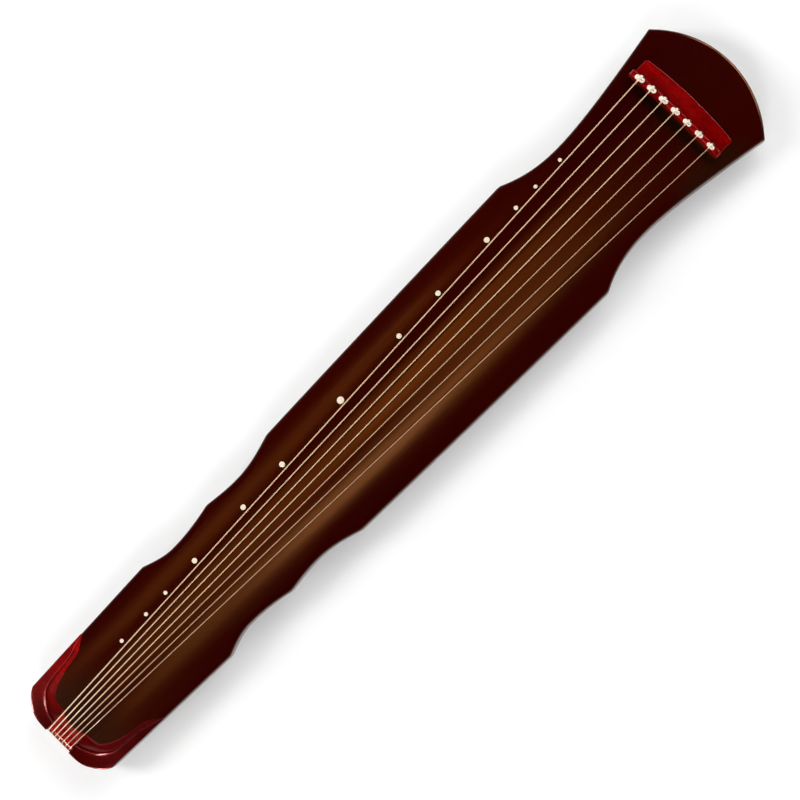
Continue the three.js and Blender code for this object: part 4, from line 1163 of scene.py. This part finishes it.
def footWinding(index):
    onFar = index < stringSet["farFootStrings"]
    side = 1 if onFar else -1
    diameters = stringSet["diameters"]
    before = [d for other, d in enumerate(diameters) if (other < index if onFar else other > index)]
    gap = stringSet["turnGap"]
    taken = sum((stringSet["footTurns"] + 1) * (d + gap) for d in before)
    height = stringSet["footWindingTop"] - fittings["seatGap"] - taken - diameters[index] / 2
    radius = stringSet["footWaist"] + stringSet["footClear"] + diameters[index] / 2
    footX = middleOf(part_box("goose_foot_far"))[0]
    startX = fittings["slotDepth"] - halfLength + stringSet["lowerRadius"]
    start = np.array([startX, side * nutRows[index]])
    toFoot = np.array([footX, stringSet["footSpread"] / 2]) - start
    heading = math.atan2(toFoot[1], toFoot[0]) - math.asin(radius / np.linalg.norm(toFoot))
    turned = np.linspace(0, stringSet["footTurns"], 61)
    angle = heading - math.pi / 2 + turned * 2 * math.pi
    y = side * (stringSet["footSpread"] / 2 + radius * np.sin(angle))
    z = height - turned * (diameters[index] + gap)
    return np.stack([footX + radius * np.cos(angle), y, z], 1)


def knotPlace(index):
    share = index / (stringCount - 1)
    span = stringSet["knotSpans"][0] * (1 - share) + stringSet["knotSpans"][1] * share
    x = bridgeX + stringSet["knotSetback"]
    return x, stringRows[index], span / 2, span * stringSet["strandShare"]


def knotLine(index, route):
    x, y, half, strand = knotPlace(index)
    across, along, up = np.array(route).T
    placeY = y + across * half
    z = bridgeTop(placeY) + strand / 2 + up * half
    points = np.stack([x + along * half, placeY, z], 1)
    return splinePoints(points, np.linspace(0, 1, stringSet["knotPoints"]))



def stringLine(index):
    radius = stringSet["diameters"][index] / 2
    clear = fittings["seatGap"] + radius
    y = nutRows[index]
    lower = stringSet["lowerRadius"]
    faceX = fittings["slotDepth"] - halfLength
    lowZ = inMm(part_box("lower_nut"))[0][2]
    nutRadius = fittings["nutRadius"]
    nutTop = surfaceHeight(nutCrestX, y) + fittings["nutHeight"]
    under = bendRow(faceX + lower, lowZ + lower, lower + clear, 270, 180, y)
    over = bendRow(nutCrestX, nutTop - nutRadius, nutRadius + clear - stringSet["nutClear"], 180, 90, y)
    end = knotLine(index, stringSet["knotRoute"])[0] + (0.5, 0, 0)
    straight = np.linspace(over[-1], end, 40)[1:]
    return np.concatenate([footWinding(index)[::-1], under, over, straight])


def makeStrings():
    for index, diameter in enumerate(stringSet["diameters"]):
        strand = knotPlace(index)[3]
        sides = stringSet["sides"]
        line = layTube(f"line{index}", stringLine(index), diameter / 2, sides)
        line.data.materials.append(woundSilk if index < stringSet["woundStrings"] else plainSilk)
        bow = layTube(f"bow{index}", knotLine(index, stringSet["knotRoute"]), strand / 2, sides)
        wrap = layTube(f"wrap{index}", knotLine(index, stringSet["wrapRoute"]),
                       strand * stringSet["wrapShare"], sides)
        for part in (bow, wrap):
            part.data.materials.append(knotSilk)
        piece = joinPieces(f"silkString{index + 1}", [line, bow, wrap])
        finishPiece(piece, "soundbox", None, [f"string_{index + 1}"], angle=60)

tuningCord = {
    "diameter": 1.1,
    "pitch": 3.2,
    "step": 0.32,
    "guideSides": 24,
    "layShare": 0.26,           # the plies' distance from the cord's middle, against the diameter
    "plyShare": 0.27,
    "legOffset": 0.8,
    "points": 420,
    "windingTop": 46.5,
    "windingTurns": 2.5,
    "windingPoints": 120,
    "neckRadius": 4.4,
    "neckClear": 0.12,
    "innerEnd": 3.2,            # inside the peg's wall
}


def cordLine(index):
    # up from the peg's bore, over the back of the bridge, through the knot and back down
    x, y, half, strand = knotPlace(index)
    base = bridgeTop(y)
    dewTop = surfaceHeight(holeX, y) + fittings["dewHeight"]
    low = inMm(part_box(f"tuning_cord_{index + 1}"))[0][2] + tuningCord["diameter"] / 2
    leg = [(holeX, low), (holeX, dewTop - 6), (holeX, dewTop + 0.6), (holeX - 0.9, dewTop + 4.2),
           (bridgeBackX + 0.75, base - 3.2), (bridgeBackX + 0.35, base + 0.1),
           (bridgeBackX - 0.9, base + 1.5), (x + half * 0.34, base + strand * 0.9),
           (x + half * 0.12, base + strand * 0.75)]
    offset = tuningCord["legOffset"]
    near = [(px, y + offset, pz) for px, pz in leg]
    far = [(px, y - offset, pz) for px, pz in reversed(leg)]
    turn = [(x, y, base + strand * 0.7)]
    return splinePoints(near + turn + far, np.linspace(0, 1, tuningCord["points"]))


def windingLine(index):
    neck, top = tuningCord["neckRadius"], tuningCord["windingTop"]
    radius = neck + tuningCord["neckClear"] + tuningCord["diameter"] / 2
    turned = np.linspace(0, tuningCord["windingTurns"], tuningCord["windingPoints"])
    height = top - (tuningCord["diameter"] + stringSet["turnGap"]) * turned
    angle = turned * 2 * math.pi
    points = np.stack([radius * np.cos(angle), radius * np.sin(angle), height], 1)
    start = [(tuningCord["innerEnd"], 0, top), (neck, -0.02, top)]
    return np.concatenate([start, points]) + (holeX, stringRows[index], 0)


def makeTuningCords():
    for index in range(stringCount):
        cord = layTwist(f"tuningCord{index + 1}", cordLine(index))
        finishPiece(cord, "soundbox", cordSilk, [f"tuning_cord_{index + 1}"], angle=60)
        winding = layTwist(f"pegWinding{index + 1}", windingLine(index))
        finishPiece(winding, f"peg_{index + 1}", cordSilk,
                    [f"cord_winding_{index + 1}"], angle=60)


makeStrings()
makeTuningCords()
print("strings: seven strings, knots and tuning cords")

# The pieces that are carried over as they are
for name, material in (("peg_plate", turnedWood), ("round_soundpost", bareWood),
                       ("square_soundpost", bareWood)):
    nodes[name].data.materials.clear()
    nodes[name].data.materials.append(material)
print("carried over: peg plate and soundposts")


# Floor, world and lamps

floorSheet = {"radius": 30.0, "sides": 96, "colour": "#f0f0f0", "roughness": 0.9, "glow": (0.2, 0.85),
              "reach": (0.9, 4.5)}


def makeFloor():
    # pale seamless paper: white to the camera and in reflections, and it keeps the shadow
    floor = addShape(bpy.ops.mesh.primitive_circle_add, vertices=floorSheet["sides"],
                     radius=floorSheet["radius"], fill_type="NGON")
    floor.name = "paperFloor"
    material, tree, shader = newMaterial("seamlessPaper")
    seen = 0.0
    for kind in ("Camera", "Glossy", "Transmission"):
        ray = addNode(tree, "ShaderNodeLightPath", out=f"Is {kind} Ray")
        seen = addNode(tree, "ShaderNodeMath", {"operation": "MAXIMUM", 0: seen, 1: ray})
    place = addNode(tree, "ShaderNodeTexCoord", out="Object")
    away = addNode(tree, "ShaderNodeVectorMath", {"operation": "LENGTH", 0: place}, "Value")
    (near, far), (least, most) = floorSheet["reach"], floorSheet["glow"]
    glow = addNode(tree, "ShaderNodeMapRange", {
        "interpolation_type": "SMOOTHSTEP", "From Min": near, "From Max": far,
        "To Min": least, "To Max": most, "Value": away})
    strength = addNode(tree, "ShaderNodeMath", {"operation": "MULTIPLY", 0: seen, 1: glow})
    feedNode(tree, shader, {"Base Color": linear(floorSheet["colour"]),
                            "Roughness": floorSheet["roughness"],
                            "Emission Color": (1, 1, 1, 1), "Emission Strength": strength})
    floor.data.materials.append(material)


studioWorld = {"horizon": 0.5, "zenith": 0.015, "fade": (0.2, 0.55), "mirrored": 0.5}


def makeWorld():
    # a pale room low down that darkens upwards, so the lacquer has something dark to mirror from above
    world = bpy.data.worlds.new("studioRoom")
    bpy.context.scene.world = world
    world.use_nodes = True
    tree = world.node_tree
    direction = addNode(tree, "ShaderNodeTexCoord", out="Generated")
    height = addNode(tree, "ShaderNodeSeparateXYZ", {"Vector": direction}, "Z")
    start, end = studioWorld["fade"]
    fall = addNode(tree, "ShaderNodeMapRange", {
        "interpolation_type": "SMOOTHSTEP", "From Min": start, "From Max": end,
        "To Min": studioWorld["horizon"], "To Max": studioWorld["zenith"], "Value": height})
    ray = addNode(tree, "ShaderNodeLightPath", out="Is Glossy Ray")
    share = addNode(tree, "ShaderNodeMapRange", {
        "To Min": 1.0, "To Max": studioWorld["mirrored"], "Value": ray})
    strength = addNode(tree, "ShaderNodeMath", {"operation": "MULTIPLY", 0: fall, 1: share})
    feedNode(tree, tree.nodes["Background"], {"Color": (1, 1, 1, 1), "Strength": strength})


lampDistance = {"studio": 4.0, "glint": 0.4, "mirror": 4.6}
studioLamps = {  # for matt light: azimuth from the head to the far side, elevation, size in m, brightness
    "keyFarTail": (135, 50, (0.8, 2.0), 12),
    "keyNearTail": (-135, 50, (0.8, 2.0), 8),
    "keyHead": (20, 55, (2.4, 2.0), 3.6),
    "head": (0, 34, (3.0, 1.2), 2.2),
    "tail": (180, 36, (0.9, 1.2), 4.0),
    "farSide": (90, 22, (5.0, 1.4), 1.9),
    "nearSide": (-90, 22, (5.0, 1.4), 0.8),
}
glintLamps = {  # mirrored by the ridges at one place: the same, then that place in mm and the beam's angle
    "glintFar": (135, 26, (0.08, 0.14), 480, (-585, 55, 72), 24),
    "glintNear": (-135, 28, (0.08, 0.14), 480, (-585, -55, 72), 24),
    "glintTail": (180, 30, (0.13, 0.11), 90, (-605, 0, 72), 30),
    "glintHead": (0, 26, (0.36, 0.08), 40, (590, 0, 60), 40),
    "glintHeadFar": (26, 26, (0.2, 0.08), 40, (590, 74, 50), 26),
    "glintHeadNear": (-26, 26, (0.2, 0.08), 40, (590, -74, 50), 26),
}
mirrorLamps = {  # strips mirrored in the top: from and to there in mm, width there, brightness, colour
    "farBand": ((-520, 45), (160, 66), 12, 2.4, "#fff0dc"),
    "middleBand": ((-515, 3), (330, 7), 32, 2.0, "#fff0dc"),
    "goldSpot": ((-20, 4), (110, 0), 24, 2.6, "#ffdcae"),
    "nearBand": ((-450, -28), (240, -53), 19, 4.0, "#e6ecff"),
    "nearGlow": ((20, -26), (330, -26), 34, 2.0, "#fff0dc"),
    "window": ((-230, -37), (60, -49), 14, 11.0, "#a9b8ff"),
}


def addLamp(name, place, target, along, size, bright, glossy=True, colour="#ffffff", beam=None):
    # a lamp for mirrored light only, or for matt light only
    data = bpy.data.lights.new(name, "AREA")
    data.shape = "RECTANGLE"
    data.size, data.size_y = size
    data.energy = bright * (size[0] * size[1]) * math.pi
    if beam:
        # a narrow beam is that much brighter for the same power
        half = math.radians(beam) / 2
        data.spread = 2 * half
        data.energy *= 1 - half / math.tan(half)
    data.color = linear(colour)[:3]
    lamp = bpy.data.objects.new(name, data)
    bpy.context.scene.collection.objects.link(lamp)
    away = (place - target).normalized()
    right = (along - away * along.dot(away)).normalized()
    turn = Matrix((right, away.cross(right), away)).transposed()
    lamp.matrix_world = Matrix.Translation(place) @ turn.to_4x4()
    lamp.visible_camera = False
    lamp.visible_diffuse = not glossy
    lamp.visible_glossy = glossy


def mirrored(x, y):
    # where a lamp stands so that the camera sees it mirrored in the top at x, y
    step = 2.0
    height = surfaceHeight(x, y)
    normal = Vector(((height - surfaceHeight(x + step, y)) / step,
                     (height - surfaceHeight(x, y + step)) / step, 1)).normalized()
    point = Vector((x, y, height)) * mm
    view = (point - camera.location).normalized()
    return point + (view - 2 * view.dot(normal) * normal) * lampDistance["mirror"], point


def makeRoundLamp(name, azimuth, elevation, size, bright, at=(0, 0, 0), beam=None):
    turn, rise = math.radians(azimuth), math.radians(elevation)
    heading = Vector((math.cos(turn) * math.cos(rise), math.sin(turn) * math.cos(rise), math.sin(rise)))
    target = Vector(at) * mm
    distance = lampDistance["glint" if beam else "studio"]
    addLamp(name, target + heading * distance, target, Vector((-math.sin(turn), math.cos(turn), 0)),
            size, bright, glossy=bool(beam), beam=beam)


def makeLamps():
    for name, values in (studioLamps | glintLamps).items():
        makeRoundLamp(name, *values)
    for name, (fromPlace, toPlace, width, bright, colour) in mirrorLamps.items():
        start, point = mirrored(*fromPlace)
        end, other = mirrored(*toPlace)
        x, y = [(a + b) / 2 for a, b in zip(fromPlace, toPlace)]
        edges = [mirrored(x, y + side * width / 2)[0] for side in (-1, 1)]
        size = ((end - start).length, (edges[1] - edges[0]).length)
        addLamp(name, (start + end) / 2, (point + other) / 2, end - start, size, bright, colour=colour)



makeFloor()
makeWorld()

# Camera at the photograph's angle: almost straight above, leaning to the player's side

cameraPlace = {
    "target": (7.0, -5.2, 65.0),
    "distance": 3000.0,
    "tilt": 5.46,               # degrees towards the player's side
    "lean": 0.4,                # and towards the head
    "roll": 45.43,
    "lens": 104.03,
    "sensor": 36,
    "farthest": 200,
}


def makeCamera():
    target = Vector(cameraPlace["target"]) * mm
    tilt, lean, roll = [math.radians(cameraPlace[name]) for name in ("tilt", "lean", "roll")]
    back = Vector((math.sin(lean), -math.sin(tilt) * math.cos(lean), math.cos(tilt) * math.cos(lean)))
    along = (Vector((1, 0, 0)) - back * back.x).normalized()
    side = back.cross(along)
    right = along * math.cos(roll) - side * math.sin(roll)
    up = along * math.sin(roll) + side * math.cos(roll)
    data = bpy.data.cameras.new("camera")
    data.lens = cameraPlace["lens"]
    data.sensor_width = cameraPlace["sensor"]
    data.clip_end = cameraPlace["farthest"]
    camera = bpy.data.objects.new("camera", data)
    bpy.context.scene.collection.objects.link(camera)
    turn = Matrix((right, up, back)).transposed()
    place = target + back * cameraPlace["distance"] * mm
    camera.matrix_world = Matrix.Translation(place) @ turn.to_4x4()
    bpy.context.scene.camera = camera
    return camera


camera = makeCamera()
makeLamps()
print("studio: floor, world, lamps and camera")
